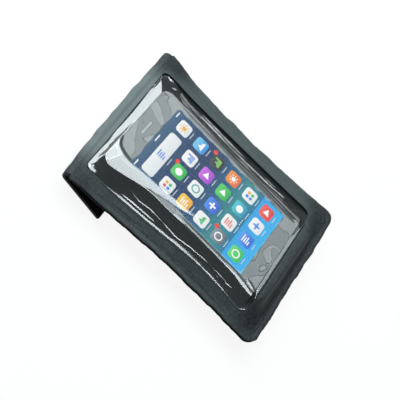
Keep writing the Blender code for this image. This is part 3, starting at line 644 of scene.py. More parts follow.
def new_material(name):
    """An empty material, its node tree and its output."""
    made = bpy.data.materials.new(name)
    made.use_nodes = True
    made.node_tree.nodes.clear()
    return made, made.node_tree, add(made.node_tree, "OutputMaterial")


def weave(tree, where, spacing, distortion=0.0):
    """Crossed threads this far apart, as a height. A wave's bands are pi / 10 / scale apart."""
    sockets = {"Vector": where, "Scale": math.pi / 10 / spacing, "Distortion": distortion}
    warp = add(tree, "TexWave", sockets, bands_direction="X").outputs["Fac"]
    weft = add(tree, "TexWave", sockets, bands_direction="Y").outputs["Fac"]
    return add(tree, "Math", {0: warp, 1: weft}, operation="MULTIPLY").outputs[0]


def painted_light_share(x, y):
    """How much painted sheen lightens the coating: most by the fold, and least, leaving painted shade, at
    the corners and the bottom seam.
    """
    half_width = POUCH_WIDTH / 2
    to_corner = min(math.hypot(abs(x) - half_width, y - end) for end in (FOLD_Y, BOTTOM_Y))
    by_fold = smoothstep((y - PAINTED_SHEEN_START) / PAINTED_SHEEN_LENGTH)
    left, right = PAINTED_SHEEN_AT_SIDES
    side = (left + right) / 2 + (right - left) / 2 * x / half_width
    off_corner = smoothstep((to_corner - PAINTED_SHADE_CORNER) / PAINTED_SHEEN_LENGTH)
    off_bottom = smoothstep((y - BOTTOM_Y - PAINTED_SHADE_CORNER) / PAINTED_SHEEN_LENGTH_AT_BOTTOM)
    return (side + (1 - side) * by_fold) * off_corner * off_bottom


def coated_fabric(name, colour, painted_sheen_and_mottle, roughness):
    """Polyester fabric, woven and then coated with a soft plastic skin that welds under heat.

    It gives a dark satin face with a fine grain, cloudy where the skin is thin, with a painted sheen towards
    the fold and painted shade at the corners and the bottom seam.
    """
    made, tree, output = new_material(name)
    where = add(tree, "TexCoord").outputs["Object"]
    # The threads are 0.4 mm apart on the real one, and drawn at 0.9 mm so that they show. The grain of
    # the skin is 0.3 mm wide, and drawn at 1.3 mm.
    threads = weave(tree, where, 0.9 * MM, 0.6)
    fine = {"Vector": where, "Scale": 1 / (1.3 * MM), "Detail": 4.0, "Roughness": 0.7}
    grain = add(tree, "TexNoise", fine).outputs["Fac"]
    cloud = add(tree, "TexNoise", {"Vector": where, "Scale": 1 / (26 * MM), "Detail": 4.0})
    patch = add(tree, "MapRange", {"Value": cloud.outputs["Fac"], 1: 0.35, 2: 0.65}).outputs[0]
    mottle = add(tree, "MapRange", {"Value": grain, 1: 0.35, 2: 0.65, 3: 0.0, 4: 0.8}).outputs[0]
    # Painted light: mixed towards the pale colour as painted sheen by the fold, and left dark as painted
    # shade at the corners and the bottom seam.
    painted_light = add(tree, "Attribute", attribute_name="painted_light").outputs["Fac"]
    cloudy = add(tree, "Math", {0: patch, 1: 0.25, 2: mottle}, operation="MULTIPLY_ADD")
    cloudy = add(tree, "Math", {0: cloudy.outputs[0], 1: 0.3}, operation="MULTIPLY").outputs[0]
    share = add(tree, "Math", {0: painted_light, 1: 0.85, 2: cloudy}, operation="MULTIPLY_ADD")
    mixed = add(tree, "Mix", {0: share.outputs[0], 6: colour, 7: painted_sheen_and_mottle}, data_type="RGBA")
    low, high = roughness - 0.06, roughness + 0.08
    rough = add(tree, "MapRange", {"Value": grain, 1: 0.3, 2: 0.7, 3: low, 4: high})
    height = add(tree, "Math", {0: threads, 1: 0.5, 2: grain}, operation="MULTIPLY_ADD")
    bump = add(tree, "Bump", {"Height": height.outputs[0], "Strength": 0.55, "Distance": 0.13 * MM})
    shader = add(
        tree,
        "BsdfPrincipled",
        {
            "Base Color": mixed.outputs[2],
            "Roughness": rough.outputs[0],
            "Normal": bump.outputs[0],
            "Specular IOR Level": 0.2,
        },
    )
    tree.links.new(shader.outputs[0], output.inputs["Surface"])
    return made


def cast_film(index, haze):
    """Vinyl film, cast on a polished roll: clear, a little milky, and glossy on both faces.

    It mirrors lamps as long bright streaks, and it wets the glass in patches, which mirror less.
    """
    made, tree, output = new_material("cast_clear_vinyl")
    where = add(tree, "TexCoord").outputs["Object"]
    swell = add(tree, "TexNoise", {"Vector": where, "Scale": 1 / (12 * MM), "Detail": 1.0}).outputs["Fac"]
    # The patches are about 9 mm across, with thin dark lines at their edges, where the film lifts.
    broad = {"Vector": where, "Scale": 1 / (18 * MM), "Detail": 1.0, "Distortion": 0.4}
    patch = add(tree, "TexNoise", broad).outputs["Fac"]
    cling = add(tree, "Attribute", attribute_name="cling").outputs["Fac"]
    wet = add(tree, "Attribute", attribute_name="wet").outputs["Fac"]
    level = add(tree, "MapRange", {"Value": patch, 1: 0.46, 2: 0.50, 3: 0.0, 4: 0.35}).outputs[0]
    rim = add(tree, "Math", {0: patch, 1: 0.48}, operation="SUBTRACT").outputs[0]
    rim = add(tree, "Math", {0: rim}, operation="ABSOLUTE").outputs[0]
    rim = add(tree, "MapRange", {"Value": rim, 1: 0.0, 2: 0.012, 3: 0.9, 4: 0.0}).outputs[0]
    level = add(tree, "Math", {0: level, 1: rim}, operation="MAXIMUM").outputs[0]
    level = add(tree, "Math", {0: level, 1: cling}, operation="MULTIPLY").outputs[0]
    level = add(tree, "Math", {0: level, 1: wet}, operation="MAXIMUM").outputs[0]
    height = add(tree, "Math", {0: level, 1: 0.25, 2: swell}, operation="MULTIPLY_ADD")
    bump = add(tree, "Bump", {"Height": height.outputs[0], "Strength": 0.5, "Distance": 0.1 * MM})
    # The milkiness shows over the dark lining.
    clear = add(tree, "BsdfTransparent", {"Color": linear("#F4F6F5")})
    milk = add(tree, "BsdfDiffuse", {"Color": linear("#DDEBEE")})
    clear = add(tree, "MixShader", {0: haze, 1: clear.outputs[0], 2: milk.outputs[0]})
    gloss = add(tree, "BsdfGlossy", {"Roughness": 0.09, "Normal": bump.outputs[0]})
    # Both faces of the film and the glass behind it mirror together, as one face of this index does.
    mirror = add(tree, "Fresnel", {"IOR": index, "Normal": bump.outputs[0]})
    dry = add(tree, "Math", {0: 1.0, 1: level}, operation="SUBTRACT")
    share = add(tree, "Math", {0: mirror.outputs[0], 1: dry.outputs[0]}, operation="MULTIPLY")
    film = add(tree, "MixShader", {0: share.outputs[0], 1: clear.outputs[0], 2: gloss.outputs[0]})
    tree.links.new(film.outputs[0], output.inputs["Surface"])
    return made


def woven_tape(name, colour):
    """Nylon tape, woven close and plain, with its hooks and loops in the same yarn: dull and dark."""
    made, tree, output = new_material(name)
    where = add(tree, "TexCoord").outputs["Object"]
    # The real threads are 0.25 mm apart, and drawn at 0.5 mm so that they show.
    threads = weave(tree, where, 0.5 * MM)
    fuzz = add(tree, "TexNoise", {"Vector": where, "Scale": 1 / (0.7 * MM), "Detail": 3.0}).outputs["Fac"]
    height = add(tree, "Math", {0: threads, 1: 0.6, 2: fuzz}, operation="MULTIPLY_ADD")
    bump = add(tree, "Bump", {"Height": height.outputs[0], "Strength": 0.5, "Distance": 0.08 * MM})
    pale = [min(1.0, 1.9 * c) for c in colour[:3]] + [1.0]
    mixed = add(tree, "Mix", {0: fuzz, 6: tuple(colour), 7: pale}, data_type="RGBA")
    shader = add(
        tree,
        "BsdfPrincipled",
        {
            "Base Color": mixed.outputs[2],
            "Roughness": 0.85,
            "Normal": bump.outputs[0],
            "Sheen Weight": 0.15,
        },
    )
    tree.links.new(shader.outputs[0], output.inputs["Surface"])
    return made


def solid_finish(name, colour, roughness, metallic=0.0, grain=0.4, depth=0.02, spread=0.06):
    """A hard finish with a fine grain, its size and depth in millimetres. spread is that of its gloss.

    The grain of the real ones is finer than 0.1 mm, and drawn at 0.4 mm so that it shows.
    """
    made, tree, output = new_material(name)
    where = add(tree, "TexCoord").outputs["Object"]
    fine = add(tree, "TexNoise", {"Vector": where, "Scale": 1 / (grain * MM), "Detail": 3.0})
    low, high = roughness - spread, roughness + spread
    rough = add(tree, "MapRange", {"Value": fine.outputs["Fac"], 3: low, 4: high})
    shader = add(
        tree,
        "BsdfPrincipled",
        {"Base Color": colour, "Roughness": rough.outputs[0], "Metallic": metallic},
    )
    if depth:
        bump = add(tree, "Bump", {"Height": fine.outputs["Fac"], "Strength": 0.4, "Distance": depth * MM})
        tree.links.new(bump.outputs[0], shader.inputs["Normal"])
    tree.links.new(shader.outputs[0], output.inputs["Surface"])
    return made


def lit_display(strength):
    """A lit display, bonded under polished glass: it shines in its own colours, and mirrors faintly.

    The colours are painted on the mesh.
    """
    made, tree, output = new_material("lit_display_under_glass")
    paint = add(tree, "Attribute", attribute_name="paint")
    shader = add(
        tree,
        "BsdfPrincipled",
        {
            "Base Color": (0.004, 0.004, 0.005, 1.0),
            "Roughness": 0.05,
            "Specular IOR Level": 0.12,
            "Emission Color": paint.outputs["Color"],
            "Emission Strength": strength,
        },
    )
    tree.links.new(shader.outputs[0], output.inputs["Surface"])
    return made


def a_colour(name, description, colour):
    """A setting that holds a colour, given in sRGB hex."""
    return FloatVectorProperty(
        name=name, description=description, subtype="COLOR", size=4, min=0.0, max=1.0, default=linear(colour)
    )


def a_length(name, description, metres):
    """A setting that holds a length."""
    return FloatProperty(
        name=name, description=description, unit="LENGTH", min=0.0, precision=5, default=metres
    )


def a_share(name, description, share):
    """A setting that holds a share, shown as a slider."""
    return FloatProperty(
        name=name, description=description, subtype="FACTOR", min=0.0, soft_max=1.0, default=share
    )


def a_number(name, description, value):
    """A setting that holds a plain number."""
    return FloatProperty(name=name, description=description, min=0.0, default=value)


class CASE_PG_fabric(bpy.types.PropertyGroup):
    """Coated fabric of the pouch."""

    colour: a_colour("Colour", "Colour of the coating", "#14181A")
    # Painted sheen: the pale colour mixed in where the lamps light the coating most, and also the colour of
    # its random mottle.
    painted_sheen_and_mottle: a_colour("Worn", "Colour where it is rubbed", "#5F696A")
    lining: a_colour("Lining", "Colour of the back panel", "#0D0E0E")
    worn_lining: a_colour("Worn Lining", "The same, where thin", "#131415")
    edge_wander: a_length("Edge Wander", "How far the cut edge strays", 0.0006)
    pucker: a_length("Pucker", "Height of the puckers beside the weld", 0.0003)
    swell: a_length("Swell", "Height of the slack swells on the slope", 0.0004)
    roughness: a_share("Roughness", "Roughness of the coating", 0.46)
    lining_roughness: a_share("Lining Roughness", "Roughness of the back panel", 0.75)


class CASE_PG_film(bpy.types.PropertyGroup):
    """Clear window."""

    crease: a_share("Crease", "How high the folds stand, as a share", 1.0)
    ripple: a_length("Ripple", "Height of the fine ripples beside the phone", 0.00012)
    haze: a_share("Haze", "Share of the light that the vinyl scatters", 0.025)
    index: a_number("Index", "Index of refraction that the gloss follows", 2.5)


class CASE_PG_closure(bpy.types.PropertyGroup):
    """Hook and loop tapes. Their threads are drawn thicker and wider apart than the real ones, to show."""

    colour: a_colour("Colour", "Colour of the nylon", "#131314")
    hook_pitch: a_length("Hook Pitch", "Hook to hook", 0.0013)
    hook_thread: a_length("Hook Thread", "Thickness of a hook", 0.00016)
    loop_pitch: a_length("Loop Pitch", "Loop to loop", 0.0010)
    loop_thread: a_length("Loop Thread", "Thickness of a loop", 0.00012)


class CASE_PG_hardware(bpy.types.PropertyGroup):
    """Adapter, plate and screws."""

    plastic: a_colour("Plastic", "Colour of the adapter", "#1C1C1E")
    screws: a_colour("Screws", "Colour of their plating", "#B9BBBE")


class CASE_PG_phone(bpy.types.PropertyGroup):
    """Phone in the pouch."""

    housing: a_colour("Housing", "Colour of the housing", "#2C2E31")
    glass: a_colour("Glass", "Colour behind the glass", "#525E61")
    button: a_colour("Button", "Colour of the button", "#626C6E")
    earpiece: a_colour("Earpiece", "Colour of its mesh", "#B4BABD")
    ring: a_colour("Ring", "Colour round the button", "#C4CACC")
    screen: a_number("Screen", "Brightness of the display", 1.0)


class CASE_PG_stage(bpy.types.PropertyGroup):
    """Light."""

    wall: a_number("Wall", "Radiance of the softbox behind the fold", 5.0)
    overhead: a_number("Overhead", "Radiance of the strip overhead", 4.5)
    corner: a_number("Corner", "Radiance of the softbox between those two", 5.2)
    card: a_number("Card", "Radiance of the soft card over the right side", 2.7)
    room: a_number("Room", "Radiance of the rest of the room", 0.15)


def swells(x, y, waves):
    """Sum of smooth noises, each of a pitch, a seed and a share."""
    return sum(share * wander(x, y, pitch, seed) for pitch, seed, share in waves)


def stray_point(point, edge_point, share, amount, height, lift):
    """A point of the weld, strayed with its edge: (x, y, z)."""
    x, y = point
    ex, ey = edge_point
    strays = amount * (1 - share)
    away = Vector((ex, ey)).normalized() * swells(ex, ey, EDGE_OUT) * strays
    up = swells(ex, ey, EDGE_UP) * strays
    open_edge = 1 - near_fold(y)
    return (x + away.x, y + away.y * open_edge, height + (lift + up) * open_edge)


class CASE_OT_front_panel(bpy.types.Operator):
    """Front panel of coated fabric, from the welded edge to the window, and on over the fold"""

    bl_idname = "case.front_panel"
    bl_label = "Front Panel"

    def execute(self, context):
        settings = context.scene.case_fabric
        edge, seam = pouch_rings()
        lap = window_ring(FILM_LAP, FILM_LAP_AT_ENDS)
        window = window_ring()
        rings = []
        for share, lift in WELD:
            rings.append(
                [
                    stray_point(point, on_edge, share, settings.edge_wander, front_height(*point), lift)
                    for point, on_edge in zip(between(edge, seam, share), edge)
                ]
            )
        for i in range(SLOPE_RINGS + 1):
            share = i / SLOPE_RINGS
            ring = []
            for (x, y), (ex, ey) in zip(between(seam, lap, share), edge):
                pucker = settings.pucker * wander(ex, ey, PUCKER_PITCH, 2.2)
                pucker *= (1 - share) ** PUCKER_FADE_POWER
                swell = settings.swell * wander(x, y, SWELL_PITCH, 4.4) * math.sin(math.pi * share)
                ring.append((x, y, front_height(x, y) + (pucker + swell) * (1 - near_fold(y))))
            rings.append(ring)
        for share, lift in WINDOW_WELD:
            rings.append([(x, y, front_height(x, y) + lift) for x, y in between(lap, window, share)])
        tail = fold_tail(edge, FOLD_OUTER_RADIUS, settings.edge_wander)
        panel = loft("front_panel_fabric", rings, PANEL_THICKNESS, tail)
        fabric = coated_fabric("coated_polyester", settings.colour, settings.painted_sheen_and_mottle, settings.roughness)
        # Painted light on the coating: painted sheen towards the fold, painted shade at the corners and the
        # bottom seam.
        painted_light_values = [painted_light_share(vertex.co.x, vertex.co.y) for vertex in panel.data.vertices]
        panel.data.attributes.new("painted_light", "FLOAT", "POINT").data.foreach_set("value", painted_light_values)
        dress(panel, fabric, replaces=("front_panel",))
        return {"FINISHED"}


class CASE_OT_back_panel(bpy.types.Operator):
    """Back panel of coated fabric, and on over the fold as the inside of the flap"""

    bl_idname = "case.back_panel"
    bl_label = "Back Panel"

    def execute(self, context):
        settings = context.scene.case_fabric
        edge, seam = pouch_rings()
        flat = outline(
            POUCH_WIDTH / 2 - BACK_FLAT_INSET,
            BOTTOM_Y + BACK_FLAT_INSET,
            FOLD_Y - BACK_FLAT_INSET + SEAM_WIDTH,
            BOTTOM_CORNER_RADIUS,
            BOTTOM_CORNER_RADIUS,
        )
        rings = []
        for share in BACK_WELD:
            rings.append(
                [
                    stray_point(point, on_edge, share, settings.edge_wander, back_height(*point), 0.0)
                    for point, on_edge in zip(between(edge, seam, share), edge)
                ]
            )
        for i in range(BACK_RINGS + 1):
            rings.append([(x, y, back_height(x, y)) for x, y in between(seam, flat, i / BACK_RINGS)])
        tail = fold_tail(edge, FOLD_INNER_RADIUS, 0.0)
        out, up = SCREW_CIRCLE_RADIUS * math.cos(SCREW_ANGLE), SCREW_CIRCLE_RADIUS * math.sin(SCREW_ANGLE)
        holes = [(side * out, end * up, SCREW_HOLE_RADIUS) for side in (-1, 1) for end in (-1, 1)]
        panel = loft("back_panel_fabric", rings, PANEL_THICKNESS, tail, holes=holes, upwards=False)
        # The same fabric in black, and duller, since its skin is on the other face.
        fabric = coated_fabric(
            "coated_polyester_lining", settings.lining, settings.worn_lining, settings.lining_roughness
        )
        dress(panel, fabric, replaces=("back_panel",))
        return {"FINISHED"}


def film_level(share, point, wall, leaving):
    """Level of the smooth film. share is 0 at the window's edge, and 1 where the film leaves the phone.

    wall and leaving are the points there on the same spoke.
    """
    if share >= 1:
        return FILM_TOP_Z + FILM_WAVE * wander(*point, FILM_WAVE_PITCH, 9.1)
    low = film_rim(*wall)
    drop = PHONE_TOP_Z + FILM_OVER_EDGE - low
    # The long slopes hang like a tent's, and the short one at the end is straighter.
    width = math.dist(wall, leaving)
    short, more = SLOPE_POWER
    power = short + more * smoothstep((width - SLOPE_WIDTH[0]) / SLOPE_WIDTH[1])
    bulge = min(max(FILM_BULGE_SHARE * drop, 0.0), FILM_BULGE)
    bulge *= smoothstep((wall[1] - FILM_BULGE_START) / FILM_BULGE_FADE)
    return low + bulge * smoothstep(share * width / FILM_BULGE_WIDTH) + (drop - bulge) * share**power


def wetting(x, y, raised):
    """How far the film clings to the phone's glass, and how far it wets it, over the screen."""
    px, py = to_phone(x, y)
    past = outside_distance(px, py - SCREEN_Y, SCREEN_WIDTH / 2, SCREEN_LENGTH / 2, WET_CORNER_RADIUS)
    past += WET_WANDER * wander(x, y, WET_PITCH, 8.2)
    down = 1 - smoothstep(raised / FREE_LIFT)
    return down, WET * (1 - smoothstep(past / WET_EDGE + 0.5)) * down


class CASE_OT_window_film(bpy.types.Operator):
    """Clear window, lapped under the front panel, folded beside the phone and tight over it"""

    bl_idname = "case.window_film"
    bl_label = "Window Film"

    def execute(self, context):
        settings = context.scene.case_film
        lap = window_ring(FILM_LAP, FILM_LAP_AT_ENDS)
        window = window_ring()
        phone = phone_ring()
        spine = [(PHONE_X, PHONE_Y + SPINE_SHARE * (y - PHONE_Y)) for _, y in phone]
        flat = [lap, between(lap, window, 0.5)]
        flat += [between(window, phone, i / FILM_RINGS) for i in range(FILM_RINGS + 1)]
        flat += [between(phone, spine, i / (PHONE_RINGS + 2)) for i in range(1, PHONE_RINGS + 1)]
        points = np.array(flat)
        lift = sum(fold_lift(points[..., 0] / MM, points[..., 1] / MM, fold) for fold in FOLDS)
        # The folds die out at the window's edge.
        rows = np.arange(len(flat)) - 2
        lift *= settings.crease * MM * np.clip(rows / FOLD_FREE_RINGS, 0, 1)[:, None]
        rings = []
        for row, ring, raises in zip(rows, flat, lift):
            share = min(max(row / FILM_RINGS, 0), 1)
            made = []
            for (x, y), wall, leaving, raised in zip(ring, window, phone, raises):
                height = film_rim(x, y) if row < 0 else film_level(share, (x, y), wall, leaving)
                if row == FILM_RINGS:
                    height -= FILM_OVER_GLASS - FILM_OVER_EDGE
                beside = 1 - smoothstep((abs(wall[1] - WINDOW_Y) - RIPPLE_END) / RIPPLE_FADE)
                ripple = settings.ripple * math.sin(math.pi * share) * beside
                ripple *= noise.noise(Vector((x / RIPPLE_PITCH, y / RIPPLE_LENGTH, 1.7)))
                made.append((x, y, height + raised + ripple))
            rings.append(made)
        film = loft("window_film_folded", rings, cap=True)
        # Over the phone the film touches the glass in patches, and all over the screen.
        touch = []
        for ring, raises in zip(flat, lift):
            touch += [wetting(x, y, raised) for (x, y), raised in zip(ring, raises)]
        over_phone = np.repeat(rows > FILM_RINGS + 1, len(lap))
        clings, wets = np.array(touch).T
        for name, values in (("cling", clings * over_phone), ("wet", wets)):
            film.data.attributes.new(name, "FLOAT", "POINT").data.foreach_set("value", values)
        dress(film, cast_film(settings.index, settings.haze), replaces=("window_film",))
        return {"FINISHED"}


# Woven tape: the share of its thickness at which its edge is bevelled, and the bevel's width
TAPE_SHOULDER = 0.7
TAPE_BEVEL = 0.00012

# Its threads: sides of each, the turn from one to the next, and how far each strays, in pitches
THREAD_SIDES = 5
GOLDEN_ANGLE = 2.39996
THREAD_STRAY = 0.2

# A hook, as steps out and up from the tape, in millimetres
HOOK = ((0.0, -0.05), (0.0, 0.18), (0.04, 0.30), (0.14, 0.37), (0.25, 0.32), (0.29, 0.21))

# A loop's half span and height in millimetres, how far it leans, and how deep its feet stand
LOOP_SPAN = 0.34
LOOP_HEIGHT = 0.36
LOOP_LEAN = 0.3
LOOP_FOOT = 0.02
LOOP_LEGS = 5


def thread_tube(work, path, radius):
    """A thread along points, with closed ends."""
    loops = []
    for index, point in enumerate(path):
        before, after = path[max(index - 1, 0)], path[min(index + 1, len(path) - 1)]
        along = (Vector(after) - Vector(before)).normalized()
        across = along.orthogonal().normalized()
        if loops:
            # The frame turns as little as it can from one point to the next.
            across = (last - along * last.dot(along)).normalized()
        last = across
        other = along.cross(across)
        ring = circle(0.0, 0.0, radius, THREAD_SIDES)
        loops.append([work.verts.new(Vector(point) + u * across + v * other) for u, v in ring])
    for first, second in zip(loops, loops[1:]):
        bridge(work, first, second)
    work.faces.new(loops[0][::-1])
    work.faces.new(loops[-1])


def hook_path(x, y, turn):
    """A hook that stands on the tape and bends over."""
    side = math.cos(turn)
    return [(x + out * MM * side, y, TAPE_BASE + up * MM) for out, up in HOOK]


def loop_path(x, y, turn):
    """A loop of pile that leans as it likes."""
    c, s = math.cos(turn), math.sin(turn)
    path = []
    for step in range(LOOP_LEGS + 1):
        angle = math.pi * step / LOOP_LEGS
        out, up = LOOP_SPAN * MM * math.cos(angle), LOOP_HEIGHT * MM * math.sin(angle)
        lean = LOOP_LEAN * up
        path.append((x + out * c - lean * s, y + out * s + lean * c, TAPE_BASE - LOOP_FOOT * MM + up))
    return path


def tape(name, path, pitch, thread):
    """A woven tape with rows of hooks or loops, flat on the origin, as a work mesh."""
    columns = int((CLOSURE_WIDTH - 2 * SELVEDGE) / pitch)
    rows = int((CLOSURE_STRIP - 2 * SELVEDGE) / pitch)
    if not columns or not rows:
        raise RuntimeError(f"{name}: the pitch leaves no room for a row")
    work = bmesh.new()
    rings = []
    for inset, level in ((0.0, 0.0), (0.0, TAPE_SHOULDER * TAPE_BASE), (TAPE_BEVEL, TAPE_BASE)):
        half_width, half_strip = CLOSURE_WIDTH / 2 - inset, CLOSURE_STRIP / 2 - inset
        corner = CLOSURE_CORNER_RADIUS
        flat = outline(half_width, -half_strip, half_strip, corner, corner, steps=(6, 8, 60))
        rings.append([work.verts.new((x, y, level)) for x, y in flat])
    for outer, inner in zip(rings, rings[1:]):
        bridge(work, outer, inner)
    work.faces.new(rings[0][::-1])
    work.faces.new(rings[-1])
    for row in range(rows + 1):
        for column in range(columns + 1):
            # Each stands a golden angle round from the one before, and strays a little.
            turn = GOLDEN_ANGLE * (row * (columns + 1) + column)
            x = (column - columns / 2 + THREAD_STRAY * math.cos(turn)) * pitch
            y = (row - rows / 2 + THREAD_STRAY * math.sin(turn)) * pitch
            thread_tube(work, path(x, y, turn), thread / 2)
    bmesh.ops.recalc_face_normals(work, faces=work.faces)
    return work


class CASE_OT_closure(bpy.types.Operator):
    """Hook tape on the flap and loop tape on the back"""

    bl_idname = "case.closure"
    bl_label = "Closure Tapes"

    def execute(self, context):
        settings = context.scene.case_closure
        along_y, along_z = math.cos(FLAP_ANGLE), math.sin(FLAP_ANGLE)
        end_y = FOLD_Y + FOLD_OUTER_RADIUS * along_z - FLAP_LENGTH * along_y
        end_z = FOLD_Z - FOLD_OUTER_RADIUS * along_y - FLAP_LENGTH * along_z
        middle = CLOSURE_END_INSET + CLOSURE_STRIP / 2
        on_flap = (
            Matrix.Translation((0, end_y + middle * along_y, end_z + middle * along_z))
            @ Matrix.Rotation(FLAP_ANGLE, 4, "X")
            @ Matrix.Translation((0, 0, 2 * PANEL_THICKNESS + 2 * LAYER_GAP))
        )
        under_back = Matrix.Translation((0, end_y + middle, BACK_Z - LAYER_GAP))
        on_back = under_back @ Matrix.Rotation(math.pi, 4, "X")
        nylon = woven_tape("woven_nylon_tape", settings.colour)
        for name, node, place, path, pitch, thread in (
            ("hook_tape", "hook_strip", on_flap, hook_path, settings.hook_pitch, settings.hook_thread),
            ("loop_tape", "loop_strip", on_back, loop_path, settings.loop_pitch, settings.loop_thread),
        ):
            work = tape(name, path, pitch, thread)
            work.transform(place)
            dress(place_mesh(name, work), nylon, replaces=(node,))
        return {"FINISHED"}


class CASE_OT_adapter(bpy.types.Operator):
    """Quarter-turn adapter, backing plate and screws"""

    bl_idname = "case.adapter"
    bl_label = "Adapter"

    def execute(self, context):
        settings = context.scene.case_hardware
        # Nylon, moulded in a spark-eroded tool, which leaves an even fine grain and a dull sheen.
        nylon = solid_finish("moulded_nylon", settings.plastic, 0.5)
        coat_nodes(("mount_adapter", "backing_plate"), nylon)
        # Steel, plated with zinc in a bath: bright, with highlights softened by the plating's grain.
        zinc = solid_finish("zinc_plated_steel", settings.screws, 0.3, metallic=1.0)
        coat_nodes([f"adapter_screw_{i}" for i in range(1, 5)], zinc)
        return {"FINISHED"}


# Small parts in the phone's face: the ring round the button, the camera and the light sensor
RING_GAP = 0.00005
RING_WIDTH = 0.00045
CAMERA_PLACE = (-0.0076, 0.0500)
CAMERA_RADIUS = 0.0011
SENSOR_PLACE = (0.0002, 0.0563)
SENSOR_RADIUS = 0.0007
DISC_STEPS = 64


def disc_piece(name, centre, inner, outer):
    """A thin disc or ring just proud of the phone's glass."""
    work = bmesh.new()
    rings = []
    for radius, level in ((inner, 1), (outer, 1), (outer, 0)):
        if radius:
            z = PHONE_TOP_Z + SCREEN_LAYER * level
            rings.append([work.verts.new((x, y, z)) for x, y in circle(*centre, radius, DISC_STEPS)])
    for inside, outside in zip(rings, rings[1:]):
        bridge(work, outside, inside)
    if not inner:
        work.faces.new(rings[0])
    return place_mesh(name, work)


class CASE_OT_phone(bpy.types.Operator):
    """Finishes of the phone's own parts, and its small discs"""

    bl_idname = "case.phone"
    bl_label = "Phone"

    def execute(self, context):
        settings = context.scene.case_phone
        # Aluminium, blasted fine and anodised: a smooth dark metal with a soft highlight.
        housing = solid_finish("anodised_aluminium", settings.housing, 0.35, metallic=1.0, depth=0.0)
        # Glass, polished and printed grey behind, so that lamps show in it with sharp edges.
        glass = solid_finish("polished_grey_glass", settings.glass, 0.06, depth=0.0, spread=0.01)
        # The same glass, ground a little, which softens what the button's hollow mirrors.
        button_glass = solid_finish("polished_button_glass", settings.button, 0.16, depth=0.0, spread=0.02)
        # Steel sheet, pierced with fine holes and dipped in lacquer: only half metal to the eye.
        mesh = solid_finish("pierced_steel", settings.earpiece, 0.4, metallic=0.4)
        # Steel, turned bright: a thin line of light round the button.
        steel = solid_finish("turned_steel", settings.ring, 0.22, metallic=1.0, depth=0.0)
        # Lens glass with a dark coating: black, but for one sharp glint.
        lens = solid_finish("coated_lens_glass", linear("#07090C"), 0.04, depth=0.0, spread=0.01)
        coat_nodes(("phone_housing",), housing)
        coat_nodes(("phone_cover_glass",), glass)
        coat_nodes(("phone_home_button",), button_glass)
        coat_nodes(("phone_earpiece",), mesh)
        low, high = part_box("phone_home_button")
        centre = ((low.x + high.x) / 2, (low.y + high.y) / 2)
        inner = (high.x - low.x) / 2 + RING_GAP
        dress(disc_piece("home_button_ring", centre, inner, inner + RING_WIDTH), steel)
        dress(disc_piece("front_camera", from_phone(*CAMERA_PLACE), 0.0, CAMERA_RADIUS), lens)
        dress(disc_piece("light_sensor", from_phone(*SENSOR_PLACE), 0.0, SENSOR_RADIUS), lens)
        return {"FINISHED"}


class Drawing:
    """Flat coloured shapes on the phone's glass, each on its own level, in the phone's own frame."""

    def __init__(self):
        self.work = bmesh.new()
        self.paint = self.work.loops.layers.float_color.new("paint")

    def face(self, points, level, colour, low_colour=None):
        """Fills an outline with a colour, which may fade to another at its foot."""
        low = min(y for _, y in points)
        high = max(y for _, y in points)
        verts = []
        for x, y in points:
            px, py = from_phone(x, y)
            verts.append(self.work.verts.new((px, py, PHONE_TOP_Z + SCREEN_LAYER * level)))
        made = self.work.faces.new(verts)
        top, foot = linear(colour), linear(low_colour or colour)
        for loop, (_, y) in zip(made.loops, points):
            loop[self.paint] = mix(foot, top, (y - low) / (high - low))

    def block(self, x, y, width, height, radius, level, colour, low_colour=None):
        """A rounded rectangle."""
        around = outline(width / 2, -height / 2, height / 2, radius, radius, steps=(6, 1, 1))
        self.face([(x + px, y + py) for px, py in around], level, colour, low_colour)

    def disc(self, x, y, radius, level, colour, steps=24):
        """A round spot."""
        self.face(circle(x, y, radius, steps), level, colour)

    def line(self, points, width, level, colour):
        """A stroke through points, one quad a leg."""
        for (ax, ay), (bx, by) in zip(points, points[1:]):
            length = math.hypot(bx - ax, by - ay)
            nx, ny = -(by - ay) / length * width / 2, (bx - ax) / length * width / 2
            leg = [(ax - nx, ay - ny), (bx - nx, by - ny), (bx + nx, by + ny), (ax + nx, ay + ny)]
            self.face(leg, level, colour)


# Tiles of the screen, and how far the middle of their first row is below its top
TILE = 0.0088
TILE_RADIUS = 0.0020
TILE_PITCH_X = 0.0118
TILE_PITCH_Y = 0.0137
FIRST_ROW = 0.0100
# A label and a dock's label are bars: width, height and corner radius
LABEL = (0.0052, 0.0005, 0.0002)
DOCK_LABEL = (0.0046, 0.0005, 0.0002)
LABEL_BELOW = 0.0061
DOT_RADIUS = 0.0015
DOCK_ROW = 0.0095
DOCK_SHARE = 0.185
# Page dots: their places across, their height above the dock and their radius
PAGE_DOTS = ((-0.0017, 0.0, 0.0017), 0.0018, 0.0004)
# Marks along the top: place across and width of each
STATUS_MARKS = ((-0.0215, 0.0042), (0.0, 0.0052), (0.0215, 0.0040))
STATUS_HEIGHT = 0.0008
STATUS_RADIUS = 0.0003
STATUS_BELOW = 0.0019
WHITE = "#F2F6FA"
LABEL_COLOUR = "#C9D6E0"
DOT_COLOUR = "#F03A30"

